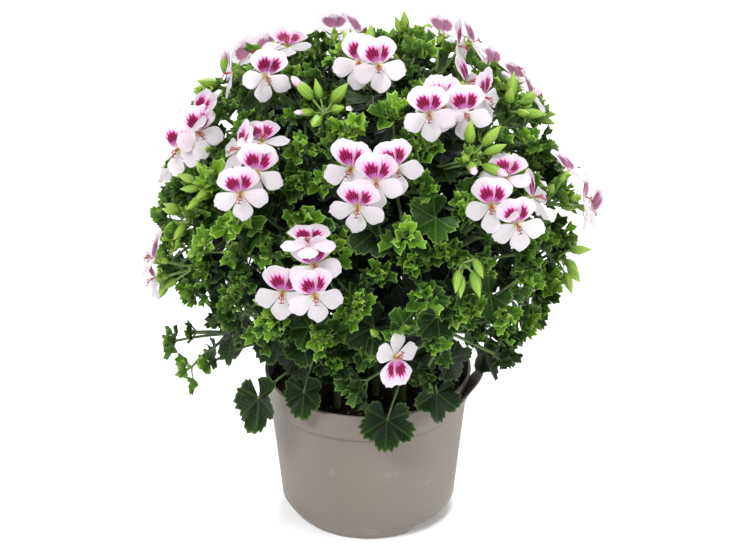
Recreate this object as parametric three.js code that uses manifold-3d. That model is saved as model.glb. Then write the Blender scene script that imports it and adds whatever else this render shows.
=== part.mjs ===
// A potted angel pelargonium: a bushy plant with small toothed leaves and heads of white flowers, each
// with two magenta-blotched upper petals, growing in a plastic nursery pot filled with potting soil.
// Millimetres, +Z up. The origin is the centre of the pot's underside, and the front of the plant faces -Y.
import * as THREE from "three";
import { mergeVertices } from "three/addons/utils/BufferGeometryUtils.js";
import Module from "manifold-3d";

const wasm = await Module();
wasm.setup();
const { Manifold } = wasm;

// Pot: a 13 cm nursery pot with a collar, two raised drainage notches and a label ear on its right
const POT = {
  rimRadius: 65.8,
  height: 100,
  collarBottom: 82,
  collarRadius: 64.6,
  bodyTopRadius: 63.4,
  bodyLowRadius: 56.8,
  bodyLowHeight: 9,
  footRadius: 50,
  wall: 1.6,
  floor: 2,
  facets: 26,
};
const NOTCH = {
  azimuths: [47, 227],
  width: 38,
  depth: 14,
  height: 7.5,
  radius: 61,
  slope: 6,
  holeHeight: 3.8,
  holeSideways: 13,
  holeRadius: 2,
};
const DRAIN = { radius: 3.5, circle: 26, count: 5, sides: 6 };
const EAR = { azimuth: 75, halfWidth: 18, lean: 9, top: 102, bottom: 87, thickness: 1.4 };

// Soil: fills the pot to just under the rim, with a hole for each stem
const SOIL = {
  top: 88,
  gap: 0.35,
  footRadius: 44.5,
  footTop: 11,
  crumbHeight: 2,
  rings: 1,
  facets: 20,
  holeRadius: 3.9,
};

// Plant: its stems fan out from the soil to a dome round the crown's centre
const CROWN = new THREE.Vector3(0, 0, 200);
const STEM_RINGS = [
  { azimuths: [35, 155, -85], elevation: 72, reach: 104, base: 9, rise: 0.75 },
  { azimuths: [15, 87, 159, -129, -57], elevation: 44, reach: 108, base: 19, rise: 0.7 },
  { azimuths: [-22, 38, 98, 158, -142, -82], elevation: 16, reach: 112, base: 28, rise: 0.62 },
  { azimuths: [-30, 34, 88, 145, -150], elevation: -14, reach: 114, base: 38, rise: 0.55 },
  { azimuths: [-84], elevation: -33, reach: 130, base: 40, rise: 0.45 },
];
const STEM = { depth: 14, baseRadius: 2.8, tipRadius: 1.5, sides: 4, steps: 4 };
const SHOOT = {
  from: 0.62,
  turn: 21,
  lift: 9,
  shorter: 3,
  baseRadius: 1.4,
  tipRadius: 1.3,
  steps: 2,
  ways: [
    [1, 1],
    [1, -1],
    [-1, 1],
    [-1, -1],
    [1.5, 0],
    [-1.5, 0],
    [0.6, 1.6],
    [-0.6, -1.6],
    [2, 1],
    [-2, 1],
  ],
};
const PEDUNCLE = { radius: 1.2, sides: 4, steps: 2, hub: 5.4, hubThickness: 2, spread: 2.7 };
const CLEARANCE = 0.4;

// Leaves: a toothed fan of five lobes on a petiole, and small leaves in a rosette at each shoot's tip and
// in tufts between the tips
const LEAF = {
  radius: 15,
  largeFrom: 18,
  thickness: 0.9,
  petiole: 17,
  petioleWidth: 1.6,
  setPetioleWidth: 2,
  shares: [0.84, 0.56],
};
const ROSETTE = { radius: 14.5, thickness: 1, leaves: 4, inset: 1.6, attempts: [1, 0.85, 0.7] };
const TUFT = {
  count: 80,
  leaves: 3,
  radius: 16.5,
  lowest: -0.6,
  highest: 0.97,
  reach: 104,
  spread: 13,
  inward: [0, 12],
  shares: [0.78, 0.6],
  attempts: [1],
  baseRadius: 1.2,
  tipRadius: 1.1,
};
const TURNS = [0, 24, -24, 48, -48, 75, -75, 110];
const GOLDEN_TURN = 137.5;

// Flowers: five petals on a calyx and pedicel, several to a head
const FLOWER = { radius: 16, thickness: 0.9, cup: 2.2, pedicel: 21, gather: 0.2 };
const CALYX = { gap: 0.9, rim: 5, rimDrop: 2.2, neck: 1.5, length: 8, stalk: 0.9, sides: 3, sepals: 5 };
const BUD = { length: 10, radius: 2.6, stalk: 9, stalkRadius: 0.85, sides: 3 };

// The flower heads: each flower is [azimuth, elevation, distance] of its centre from the crown's centre,
// then the azimuth and elevation that it faces, and its roll. Azimuth 0 is the front and 90 the right.
const HEADS = [
  {
    name: "top_back",
    buds: 2,
    flowers: [
      [-150, 69, 119, 175, 40, 0],
      [-170, 80, 116, 120, 35, 0],
    ],
  },
  {
    name: "top_front",
    buds: 0,
    flowers: [
      [-8, 71, 124, -12, 22, 0],
      [9, 67, 129, 4, 20, 8],
    ],
  },
  {
    name: "top_right",
    buds: 0,
    flowers: [
      [121, 66, 124, 150, 35, 0],
      [80, 65, 127, 80, 14, -10],
      [104, 59, 128, 108, 25, 0],
    ],
  },
  {
    name: "upper_left",
    buds: 2,
    flowers: [
      [-80, 50, 131, -82, 8, 0],
      [-90, 60, 124, -110, 62, 0],
      [-53, 57, 129, 22, 4, -12],
      [-84, 70, 125, 0, 80, 0],
    ],
  },
  {
    name: "left",
    buds: 1,
    flowers: [
      [-69, 28, 134, -22, 16, 0],
      [-66, 36, 129, 28, 22, 0],
      [-72, 40, 133, -60, 50, 0],
    ],
  },
  {
    name: "left_front",
    buds: 2,
    flowers: [
      [-32, 33, 133, 8, 18, -8],
      [-34, 26, 139, 2, 4, 6],
      [-43, 38, 133, -70, 32, 0],
      [-36, 43, 130, 10, 78, 0],
    ],
  },
  {
    name: "front",
    buds: 0,
    flowers: [
      [-6, 38, 133, -12, 14, 0],
      [3, 34, 136, 2, 12, 0],
      [10, 38, 134, 16, 12, 10],
      [-3, 27, 138, -8, -4, -6],
    ],
  },
  {
    name: "upper_right",
    buds: 1,
    flowers: [
      [21, 50, 130, 2, 10, 6],
      [31, 53, 127, 4, 28, 0],
      [39, 48, 130, 8, 12, 0],
      [56, 57, 129, 78, 34, 0],
      [56, 50, 130, 62, 12, 0],
    ],
  },
  {
    name: "right_front",
    buds: 1,
    flowers: [
      [33, 25, 132, 0, 18, 0],
      [39, 18, 139, 6, 8, 10],
      [50, 23, 136, 76, 28, 0],
      [43, 32, 131, -10, 72, 0],
    ],
  },
  {
    name: "low_front",
    buds: 1,
    flowers: [
      [-21, 6, 137, -6, 6, -4],
      [-11, 7, 140, 10, 8, 10],
      [-12, 15, 134, 6, 24, 10],
      [-14, 21, 136, 0, 82, 0],
    ],
  },
  {
    name: "hanging",
    buds: 2,
    flowers: [
      [7, -10, 131, 42, 10, 165],
    ],
  },
  {
    name: "low_left",
    buds: 1,
    flowers: [
      [-62, 4, 139, -98, 18, 0],
      [-66, -5, 137, -86, -8, 10],
    ],
  },
  {
    name: "right_back",
    buds: 1,
    flowers: [
      [88, 40, 128, 102, 28, 0],
      [98, 45, 127, 140, 40, 0],
    ],
  },
  {
    name: "right",
    buds: 2,
    flowers: [
      [72, 24, 133, 122, 40, 0],
      [76, 13, 135, 92, 4, 0],
      [82, 6, 137, 96, -18, 10],
    ],
  },
  {
    name: "back_high",
    buds: 0,
    flowers: [
      [168, 36, 127, 170, 30, 0],
      [179, 32, 131, 178, 18, 0],
    ],
  },
  {
    name: "back_right",
    buds: 1,
    flowers: [
      [132, 35, 131, 130, 20, 0],
      [140, 30, 134, 142, 10, 0],
    ],
  },
  {
    name: "back_left",
    buds: 1,
    flowers: [
      [-142, 38, 131, -140, 20, 0],
      [-134, 34, 134, -130, 10, 0],
    ],
  },
  {
    name: "back_low_right",
    buds: 0,
    flowers: [
      [116, 5, 136, 110, 10, 0],
      [124, -1, 135, 132, -4, 0],
    ],
  },
  {
    name: "back_low",
    buds: 1,
    flowers: [
      [176, 11, 135, 178, 12, 0],
      [-177, 7, 138, -174, 4, 0],
    ],
  },
  {
    name: "back_low_left",
    buds: 0,
    flowers: [
      [-112, 6, 137, -108, 14, 0],
      [-121, 10, 134, -130, 18, 0],
    ],
  },
];

// The leaves that have a set place, low over the rim or inside the bush: azimuth, distance from the axis,
// height, radius, facing elevation and roll
const SET_LEAVES = [
  [-49, 88, 100, 22, 22, 25],
  [-33, 72, 108, 17, 30, 10],
  [9, 73, 94, 20, 28, -8],
  [36, 71, 105, 19, 25, -20],
  [62, 84, 124, 19, 35, -10],
  [-12, 66, 128, 18, 45, 10],
  [20, 78, 138, 17, 35, 0],
  [-66, 92, 134, 19, 20, 0],
  [-84, 82, 108, 19, 22, 0],
  [92, 88, 108, 20, 25, 0],
  [78, 98, 146, 18, 25, 10],
  [112, 94, 136, 18, 22, 0],
  [126, 80, 100, 20, 22, 10],
  [157, 78, 106, 19, 25, 0],
  [148, 92, 140, 18, 25, -10],
  [-172, 82, 98, 20, 20, -10],
  [-160, 92, 138, 18, 25, 10],
  [-140, 80, 104, 19, 26, 0],
  [-122, 94, 134, 18, 25, 0],
  [-106, 84, 100, 19, 22, 10],
  [-40, 90, 152, 18, 25, 10],
  [2, 94, 168, 17, 25, -10],
  [40, 92, 158, 18, 25, 0],
  [58, 98, 182, 16, 25, 10],
  [-24, 92, 182, 16, 30, 0],
  [22, 102, 190, 16, 25, 10],
  [-82, 100, 164, 17, 22, -10],
  [100, 100, 168, 17, 25, 0],
];

// Vectors and chance

const UP = new THREE.Vector3(0, 0, 1);
const rad = THREE.MathUtils.degToRad;
const vec = (x, y, z) => new THREE.Vector3(x, y, z);
const cross = (a, b) => new THREE.Vector3().crossVectors(a, b);
const along = (point, direction, distance) => point.clone().addScaledVector(direction, distance);
const blendOf = (...pairs) =>
  pairs.reduce((sum, [v, share]) => sum.addScaledVector(v, share), vec(0, 0, 0)).normalize();

// The unit vector of an azimuth, 0 at the front and 90 at the right, and an elevation, both in degrees
function direction(azimuth, elevation) {
  const a = rad(azimuth);
  const e = rad(elevation);
  return vec(Math.sin(a) * Math.cos(e), -Math.cos(a) * Math.cos(e), Math.sin(e));
}

// A number from 0 to 1 that depends only on its two seeds
function chance(seed, item) {
  let s = (Math.imul(seed + 1, 0x9e3779b1) ^ Math.imul(item + 1, 0x85ebca6b)) >>> 0;
  s = Math.imul(s ^ (s >>> 15), 0x2c1b3c6d) >>> 0;
  s = Math.imul(s ^ (s >>> 12), 0x297a2d39) >>> 0;
  return ((s ^ (s >>> 15)) >>> 0) / 4294967296;
}

// Two unit vectors across a direction: the first is level, and the second points as far up as it can
function across(dir) {
  const level = cross(dir, Math.abs(dir.z) > 0.99 ? vec(0, 1, 0) : UP).normalize();
  return [level, cross(level, dir).normalize()];
}

// Solids from vertices and triangles

// A closed solid, turned so that its faces point out
function solid(points, faces) {
  const volume = faces.reduce((sum, [a, b, c]) => sum + points[a].dot(cross(points[b], points[c])), 0);
  const triangles = volume < 0 ? faces.map(([a, b, c]) => [a, c, b]) : faces;
  return new Manifold(
    new wasm.Mesh({
      numProp: 3,
      vertProperties: new Float32Array(points.flatMap((p) => [p.x, p.y, p.z])),
      triVerts: new Uint32Array(triangles.flat()),
    }),
  );
}

function solidOf(geometry) {
  const bare = geometry.clone();
  bare.deleteAttribute("normal");
  bare.deleteAttribute("uv");
  const merged = mergeVertices(bare, 1e-4);
  const position = merged.getAttribute("position");
  const points = Array.from({ length: position.count }, (_, i) =>
    vec(0, 0, 0).fromBufferAttribute(position, i));
  const faces = [];
  for (let i = 0; i < merged.index.count; i += 3) {
    const face = [0, 1, 2].map((k) => merged.index.getX(i + k));
    if (new Set(face).size === 3) faces.push(face);
  }
  return solid(points, faces);
}

function geometryOf(manifold) {
  const mesh = manifold.getMesh();
  return new THREE.BufferGeometry()
    .setAttribute("position", new THREE.BufferAttribute(new Float32Array(mesh.vertProperties), 3))
    .setIndex(new THREE.BufferAttribute(new Uint32Array(mesh.triVerts), 1));
}

// A solid turned about +Z, from a profile of [radius, height] that closes on itself or on the axis
function turned(profile, facets) {
  const lathe = new THREE.LatheGeometry(profile.map(([r, z]) => new THREE.Vector2(r, z)), facets);
  return solidOf(lathe.rotateX(Math.PI / 2));
}

// A regular ring of points round a centre, across two axes
function ringAt(centre, u, v, radius, sides) {
  return Array.from({ length: sides }, (_, k) => {
    const angle = (2 * Math.PI * (k + 0.5)) / sides;
    return along(along(centre, u, radius * Math.cos(angle)), v, radius * Math.sin(angle));
  });
}

// The walls between rings of points, and a flat cap on the first one. A ring of one point is a tip, and
// where one ring has fewer points than the next, several points of the next share one of its points.
function skin(rings) {
  const points = rings.flat();
  const faces = [];
  let start = 0;
  for (let i = 0; i + 1 < rings.length; i++) {
    const [n, m] = [rings[i].length, rings[i + 1].length];
    const count = Math.max(n, m);
    const at = (k, size) => Math.floor(((k % count) * size) / count);
    for (let k = 0; k < count; k++) {
      const [a, b] = [start + at(k, n), start + at(k + 1, n)];
      const [c, d] = [start + n + at(k, m), start + n + at(k + 1, m)];
      if (c !== d) faces.push([c, d, a]);
      if (a !== b) faces.push([a, d, b]);
    }
    start += n;
  }
  for (let k = 1; k < rings[0].length - 1; k++) faces.push([0, k, k + 1]);
  return { points, faces, last: start };
}

const middleOf = (ring) => ring.reduce((sum, p) => sum.add(p), vec(0, 0, 0)).divideScalar(ring.length);

// The unit vectors from a ring's middle to its points
function spokesOf(ring) {
  const middle = middleOf(ring);
  return ring.map((p) => p.clone().sub(middle).normalize());
}

// The same ring, begun and run so that its points lie in line with the points of the ring before it
function closestTurn(ring, other) {
  const spokes = spokesOf(ring);
  const share = ring.length / other.length;
  const gap = (order) =>
    spokesOf(order).reduce((sum, spoke, k) => sum + spoke.distanceTo(spokes[Math.floor(k * share)]), 0);
  const runs = [other, [...other].reverse()];
  const orders = runs.flatMap((run) => run.map((_, k) => [...run.slice(k), ...run.slice(0, k)]));
  return orders.reduce((best, order) => (gap(order) < gap(best) ? order : best));
}

function capped({ points, faces, last }) {
  const cap = [];
  for (let k = last + 1; k < points.length - 1; k++) cap.push([last, k + 1, k]);
  return solid(points, [...faces, ...cap]);
}

// Rings along a path of points, from one radius to another. The extra is added to the flats, so that a
// wider path is wider by as much on every side.
function ringsAlong(path, startRadius, endRadius, sides, extra = 0) {
  const chord = path.at(-1).clone().sub(path[0]).normalize();
  const reference = across(chord)[1];
  return path.map((point, i) => {
    const ahead = path[Math.min(i + 1, path.length - 1)].clone().sub(path[Math.max(i - 1, 0)]).normalize();
    const u = cross(ahead, reference).normalize();
    const radius = startRadius + ((endRadius - startRadius) * i) / (path.length - 1);
    return ringAt(point, u, cross(u, ahead), radius + extra / Math.cos(Math.PI / sides), sides);
  });
}

const pathOf = (curve, steps) => Array.from({ length: steps + 1 }, (_, i) => curve.getPoint(i / steps));

// A curve from a point to another that leaves the first one along a direction
function bend(from, leaving, to, share = 0.5) {
  return new THREE.QuadraticBezierCurve3(from, along(from, leaving, from.distanceTo(to) * share), to);
}

// Blades are set out in a frame {at, tip, side, face}: the way their tip points and the way they face

function frameOf(at, tip, face) {
  const flat = tip.clone().addScaledVector(face, -tip.dot(face)).normalize();
  return { at, tip: flat, side: cross(face, flat), face };
}

const inFrame = ({ at, tip, side, face }, t, s, f) =>
  at.clone().addScaledVector(tip, t).addScaledVector(side, s).addScaledVector(face, f);

function outlineIn(frame, outline) {
  return outline.map(([angle, radius, height]) =>
    inFrame(frame, radius * Math.cos(rad(angle)), radius * Math.sin(rad(angle)), height));
}

// Two faces split alike, a fan each about the first point, and the rim between them along the given edges
function sheet(middle, face, thickness, rim) {
  const count = middle.length;
  const points = [0.5, -0.5].flatMap((half) => middle.map((p) => along(p, face, half * thickness)));
  const faces = [];
  for (let k = 1; k < count; k++) {
    const next = k === count - 1 ? 1 : k + 1;
    faces.push([0, k, next], [count, count + next, count + k]);
  }
  for (const [a, b] of rim) faces.push([count + a, b, a], [count + a, count + b, b]);
  return { points, faces };
}

// A blade that goes all the way round its centre
function roundBlade(frame, outline, thickness) {
  const middle = [frame.at, ...outlineIn(frame, outline)];
  const rim = middle.slice(1).map((_, k) => [k + 1, k + 2 < middle.length ? k + 2 : 1]);
  const { points, faces } = sheet(middle, frame.face, thickness, rim);
  return solid(points, faces);
}

// A blade with its petiole, a three-sided stalk whose end is a part of the blade's edge
function stalkedBlade(frame, outline, thickness, width, path) {
  const roots = [-0.5, 0.5].map((half) => inFrame(frame, -0.8, half * width, 0));
  const middle = [frame.at, roots[0], ...outlineIn(frame, outline), roots[1]];
  const last = middle.length - 1;
  const rim = middle.slice(1, last).map((_, k) => [k + 1, k + 2]);
  const leaf = sheet(middle, frame.face, thickness, rim);
  const ends = [...path, along(frame.at, frame.tip, -0.8)];
  const rings = path.map((point, i) => {
    const ahead = ends[i + 1].clone().sub(ends[Math.max(i - 1, 0)]).normalize();
    const s = frame.side.clone().addScaledVector(ahead, -frame.side.dot(ahead)).normalize();
    const n = cross(ahead, s);
    return [[0, 1], [1, -0.8], [-1, -0.8]].map(([a, b]) =>
      along(along(point, s, (a * width) / 2), n, (b * width) / 2));
  });
  const count = leaf.points.length;
  const root = [1, last, middle.length + last, middle.length + 1];
  const strip = skin([...rings, root.map((k) => leaf.points[k])]);
  const rename = (k) => (k < strip.last ? count + k : root[k - strip.last]);
  const points = [...leaf.points, ...strip.points.slice(0, strip.last)];
  return solid(points, [...leaf.faces, ...strip.faces.map((face) => face.map(rename))]);
}

// Outlines, as [angle, radius, height] with the radius and height as shares of the blade's radius

const mirrored = (half, whole) =>
  [...half, ...whole, ...half.map(([angle, ...rest]) => [-angle, ...rest]).reverse()];
const LEAF_OUTLINE = mirrored(
  [
    [-132, 0.8, 0.1],
    [-90, 0.98, 0.14],
    [-58, 0.74, -0.04],
    [-24, 1.02, 0.1],
  ],
  [],
);
const LARGE_OUTLINE = mirrored(
  [
    [-142, 0.72, 0.08],
    [-112, 0.94, 0.1],
    [-92, 0.78, -0.02],
    [-68, 1, 0.1],
    [-44, 0.92, 0.06],
    [-28, 0.8, -0.04],
  ],
  [[0, 1.04, 0.05]],
);

// Leaves round a shoot's tip with a notch between them, every second one more upright
const rosetteOutline = (leaves) =>
  Array.from({ length: leaves }, (_, k) => {
    const step = 360 / leaves;
    const cup = k % 2 ? 0.62 : 0.4;
    return [[step * k, 0.34, 0.2], [step * (k + 0.322), 0.98, cup], [step * (k + 0.678), 0.98, cup]];
  }).flat();
const ROSETTE_OUTLINE = rosetteOutline(ROSETTE.leaves);
const TUFT_OUTLINE = rosetteOutline(TUFT.leaves);

// Petals from the top: the two broad upper ones, then the three narrower lower ones
const HALF_COROLLA = [
  [12, 1],
  [36, 1.03],
  [62, 0.88],
  [82, 0.5],
  [99, 0.86],
  [122, 0.88],
  [144, 0.4],
  [165, 0.98],
];
const COROLLA_OUTLINE = [
  [0, 0.66], ...HALF_COROLLA, ...HALF_COROLLA.map(([angle, r]) => [360 - angle, r]).reverse(),
];

const sized = (outline, radius, extra = 0) =>
  outline.map(([a, r, h]) => [a, r * radius + extra, h * radius]);

// What has been placed: each piece is a solid that belongs to a node, and no piece comes near another node's

const placed = [];
const nodes = new Map();

const meets = (a, b) => a.min.every((low, k) => low < b.max[k] && a.max[k] > b.min[k]);

// Takes up room for a node, so that the other nodes stay clear of it
function reserve(node, kind, body) {
  placed.push({ node, kind, body, box: body.boundingBox() });
}

// A piece of one or more parts, each made twice: as it is, and fatter by the clearance. A part is a "stem",
// a "stalk", a "blade" or a "whole". The whole is the solid that goes into the node.
function pieceOf(kind, make) {
  const body = make(0);
  return { parts: [{ kind, body, fat: make(CLEARANCE) }], whole: body };
}

// Which kinds of part may not cross each other in one node: a blade with another or with a stalk, and a new
// stem with a blade
const CROSSINGS_LEFT_OUT = ["blade blade", "blade stalk", "stalk blade", "stem blade"];

// True if no part of a piece, made fatter, meets another node or what it may not cross of its own node
function isClear(node, { parts }) {
  return parts.every(({ kind, body, fat }) => {
    const box = fat.boundingBox();
    return placed.every((other) => {
      if (!meets(box, other.box)) return true;
      if (other.node !== node) return [fat, body].every((it) => it.intersect(other.body).isEmpty());
      const mayCross = !CROSSINGS_LEFT_OUT.includes(`${kind} ${other.kind}`);
      return mayCross || body.intersect(other.body).isEmpty();
    });
  });
}

function keepPiece(node, { parts, whole }) {
  for (const { kind, body } of parts) reserve(node, kind, body);
  if (!nodes.has(node)) nodes.set(node, []);
  nodes.get(node).push(whole);
}

// Places the first of several attempts that is clear
function placeFirstClear(node, attempts) {
  for (const attempt of attempts) {
    const piece = attempt();
    if (!isClear(node, piece)) continue;
    keepPiece(node, piece);
    return piece;
  }
  return null;
}

// The pot

function potProfile(inset, floor) {
  return [
    [0, floor],
    [POT.footRadius - inset, floor],
    [POT.bodyLowRadius - inset, POT.bodyLowHeight],
    [POT.bodyTopRadius - inset, POT.collarBottom],
  ];
}

function notchBlocks(extra) {
  return Manifold.union(
    NOTCH.azimuths.map((azimuth) => {
      const half = NOTCH.width / 2 + extra;
      const top = NOTCH.height + extra;
      const shape = new THREE.Shape([
        new THREE.Vector2(-half, -5),
        new THREE.Vector2(half, -5),
        new THREE.Vector2(half - NOTCH.slope, top),
        new THREE.Vector2(NOTCH.slope - half, top),
      ]);
      const depth = NOTCH.depth + extra + 6;
      const block = new THREE.ExtrudeGeometry(shape, { depth, bevelEnabled: false });
      const inner = NOTCH.radius - NOTCH.depth - extra;
      return solidOf(block.rotateX(Math.PI / 2).translate(0, -inner, 0).rotateZ(rad(azimuth)));
    }),
  );
}

// Drain holes in the floor, and one through the side of each notch
function drainHoles() {
  const holes = [];
  for (let i = 0; i < DRAIN.count; i++) {
    const at = direction((360 / DRAIN.count) * i, 0).multiplyScalar(DRAIN.circle);
    const hole = new THREE.CylinderGeometry(DRAIN.radius, DRAIN.radius, 12, DRAIN.sides);
    holes.push(solidOf(hole.rotateX(Math.PI / 2).translate(at.x, at.y, 0)));
  }
  for (const azimuth of NOTCH.azimuths) {
    const inner = along(vec(0, 0, NOTCH.holeHeight), direction(azimuth, 0), NOTCH.radius - NOTCH.depth - 6);
    const start = along(inner, direction(azimuth + 90, 0), NOTCH.holeSideways);
    const end = along(start, direction(azimuth, 0), 12);
    holes.push(capped(skin(ringsAlong([start, end], NOTCH.holeRadius, NOTCH.holeRadius, DRAIN.sides))));
  }
  return Manifold.union(holes);
}

// The ear: a stretch of the collar that leans outward, to hold a plant label
function labelEar() {
  const radius = POT.rimRadius;
  const ring = turned(
    [
      [radius - 2.4, EAR.bottom],
      [radius - 0.7, EAR.bottom],
      [radius + EAR.lean, EAR.top],
      [radius + EAR.lean - EAR.thickness, EAR.top + 0.5],
      [radius - 1.8, EAR.bottom + 3.4],
      [radius - 2.4, EAR.bottom],
    ],
    POT.facets,
  );
  const keeper = new THREE.BoxGeometry(2 * EAR.halfWidth, 60, 60).translate(0, -radius - 10, 100);
  return ring.intersect(solidOf(keeper.rotateZ(rad(EAR.azimuth))));
}

function makePot() {
  const outer = turned(
    [
      ...potProfile(0, 0),
      [POT.collarRadius, POT.collarBottom + 1],
      [POT.rimRadius, POT.height - 1.2],
      [POT.rimRadius - 0.8, POT.height],
      [0, POT.height],
    ],
    POT.facets,
  );
  const mouth = POT.rimRadius - POT.wall - 0.4;
  const inner = turned(
    [...potProfile(POT.wall, POT.floor), [mouth, POT.height + 4], [0, POT.height + 4]],
    POT.facets,
  );
  const hollow = inner.subtract(notchBlocks(POT.wall));
  return outer.subtract(notchBlocks(0)).add(labelEar()).subtract(hollow).subtract(drainHoles());
}

// The soil: its top is rough with crumbs, and it stays clear of the pot's wall and floor

function makeSoil(stems) {
  const inset = POT.wall + SOIL.gap;
  const { rings, facets } = SOIL;
  const widening = (POT.bodyTopRadius - POT.bodyLowRadius) / (POT.collarBottom - POT.bodyLowHeight);
  const wallAt = (z) =>
    POT.bodyLowRadius - inset + widening * (Math.min(z, POT.collarBottom) - POT.bodyLowHeight);
  const facet = Math.cos(Math.PI / POT.facets);
  const walls = [
    [SOIL.footRadius, POT.floor + SOIL.gap],
    [SOIL.footRadius, SOIL.footTop],
    [wallAt(SOIL.footTop) * facet, SOIL.footTop],
    [wallAt(SOIL.top) * facet, SOIL.top - 1],
  ];
  const around = (make) => Array.from({ length: facets }, (_, k) => make(k));
  const onRing = (radius, z, k) => vec(0, -radius, z).applyAxisAngle(UP, (2 * Math.PI * k) / facets);
  const levels = walls.map(([radius, z]) => around((k) => onRing(radius, z, k)));
  for (let ring = rings; ring >= 1; ring--)
    levels.push(around((k) => {
      const radius = (walls.at(-1)[0] * (ring - 0.1 * chance(ring + 9, k))) / (rings + 0.1);
      const crumb = SOIL.crumbHeight * (chance(ring, k) - 0.6);
      return onRing(radius, SOIL.top + crumb, k + (ring % 2) / 2);
    }));
  levels.push([vec(0, 0, SOIL.top)]);
  const mound = skin(levels);
  const holes = Manifold.union(stems.map(({ base }) => {
    const path = [along(base, UP, -CLEARANCE), along(base, UP, STEM.depth + 6)];
    return capped(skin(ringsAlong(path, SOIL.holeRadius, SOIL.holeRadius, 6)));
  }));
  return solid(mound.points, mound.faces).subtract(holes);
}

// The stems: each stands in its own hole in the soil and curves out to its tip on the dome

function stemList() {
  const stems = [];
  for (const ring of STEM_RINGS)
    for (const azimuth of ring.azimuths) {
      const aim = direction(azimuth, ring.elevation);
      const base = along(vec(0, 0, SOIL.top - STEM.depth), direction(azimuth, 0), ring.base);
      const collar = along(base, UP, STEM.depth + 3);
      const tip = along(CROWN, aim, ring.reach);
      stems.push({
        name: `leafy_stem_${String(stems.length + 1).padStart(2, "0")}`,
        index: stems.length,
        elevation: ring.elevation,
        curve: bend(collar, UP, tip, ring.rise),
        azimuth,
        aim,
        base,
        tip,
      });
    }
  return stems;
}

function stemRings(stem, extra) {
  const path = [stem.base, ...pathOf(stem.curve, STEM.steps)];
  return ringsAlong(path, STEM.baseRadius, STEM.tipRadius, STEM.sides, extra);
}

// The stems that aim most nearly along a way
const stemsToward = (way, stems, count) =>
  [...stems].sort((a, b) => b.aim.dot(way) - a.aim.dot(way)).slice(0, count);

// The frame of the rosette that ends a shoot: it faces on along the shoot
function rosetteFrame(rings) {
  const [before, centre] = rings.slice(-2).map(middleOf);
  const face = centre.clone().sub(before).normalize();
  const tip = rings.at(-1)[0].clone().sub(centre).normalize();
  return frameOf(along(centre, face, ROSETTE.inset), tip, face);
}

// A shoot and its rosette as one: the last ring of the shoot meets the underside of the rosette
function shootWithRosette(rings, shares, radius, thickness) {
  const shaft = skin(rings);
  const end = rings.at(-1);
  const frame = rosetteFrame(rings);
  const { face } = frame;
  const turning = Math.sign(end[1].clone().sub(middleOf(end)).dot(frame.side));
  const outline = sized(shares, radius).map(([a, r, h]) => [turning * a, r, h]);
  const rim = outlineIn(frame, outline);
  const count = rim.length;
  const base = shaft.points.length;
  const points = [...shaft.points, along(frame.at, face, thickness / 2)];
  for (const half of [0.5, -0.5]) points.push(...rim.map((p) => along(p, face, half * thickness)));
  const faces = [...shaft.faces];
  const perSide = count / end.length;
  for (let k = 0; k < count; k++) {
    const next = (k + 1) % count;
    const [top, topNext] = [base + 1 + k, base + 1 + next];
    const [low, lowNext] = [top + count, topNext + count];
    const corner = shaft.last + Math.floor(k / perSide);
    faces.push([base, topNext, top], [low, top, topNext]);
    faces.push([low, topNext, lowNext], [corner, low, lowNext]);
    if ((k + 1) % perSide === 0)
      faces.push([corner, lowNext, shaft.last + (Math.floor(k / perSide) + 1) % end.length]);
  }
  return solid(points, faces);
}

// The flower heads

// The frame of a flower: its throat, the way its upper petals point, and the way it faces
function flowerFrame([azimuth, elevation, distance, faceAzimuth, faceElevation, roll]) {
  const at = along(CROWN, direction(azimuth, elevation), distance);
  const face = direction(faceAzimuth, faceElevation);
  return frameOf(at, across(face)[1].applyAxisAngle(face, rad(roll)), face);
}

// The frames of a head's flowers, drawn toward the head's middle so that neighbours touch
function gathered(flowers) {
  const frames = flowers.map(flowerFrame);
  const middle = middleOf(frames.map(({ at }) => at));
  return frames.map((frame) => ({ ...frame, at: frame.at.lerp(middle, FLOWER.gather) }));
}

function corolla(frame) {
  const outline = COROLLA_OUTLINE.map(([a, r]) => [a, r * FLOWER.radius, FLOWER.cup * r]);
  return roundBlade(frame, outline, FLOWER.thickness);
}

// Where a stalk leaves the flat top of a hub: off its middle, toward where the stalk goes, and sunk into it
function leavingHub(hub, goal) {
  const way = goal.clone().sub(hub.at);
  const sideways = way.addScaledVector(hub.face, -way.dot(hub.face));
  const distance = Math.min(PEDUNCLE.spread, sideways.length() * 0.3);
  return along(along(hub.at, sideways.normalize(), distance), hub.face, -0.7);
}

// A pedicel and the calyx that it opens into behind the petals. Its neck turns half the way to where they
// face.
function pedicelAndCalyx(frame, hub, extra) {
  const { at, tip, side, face } = frame;
  const neck = along(at, face, -CALYX.length);
  const [root, end] = ringsAlong([leavingHub(hub, neck), neck], CALYX.stalk, CALYX.neck, CALYX.sides, extra);
  const [u, v] = across(blendOf([middleOf(end).sub(middleOf(root)).normalize(), 0.5], [face, 0.5]));
  const neckRadius = CALYX.neck + extra / Math.cos(Math.PI / CALYX.sides);
  const bent = closestTurn(root, ringAt(neck, u, v, neckRadius, CALYX.sides));
  const top = along(at, face, extra - CALYX.gap);
  const rim = ringAt(along(top, face, -CALYX.rimDrop), tip, side, CALYX.rim + extra, CALYX.sepals);
  return capped(skin([root, bent, closestTurn(bent, rim), [top]]));
}

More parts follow.
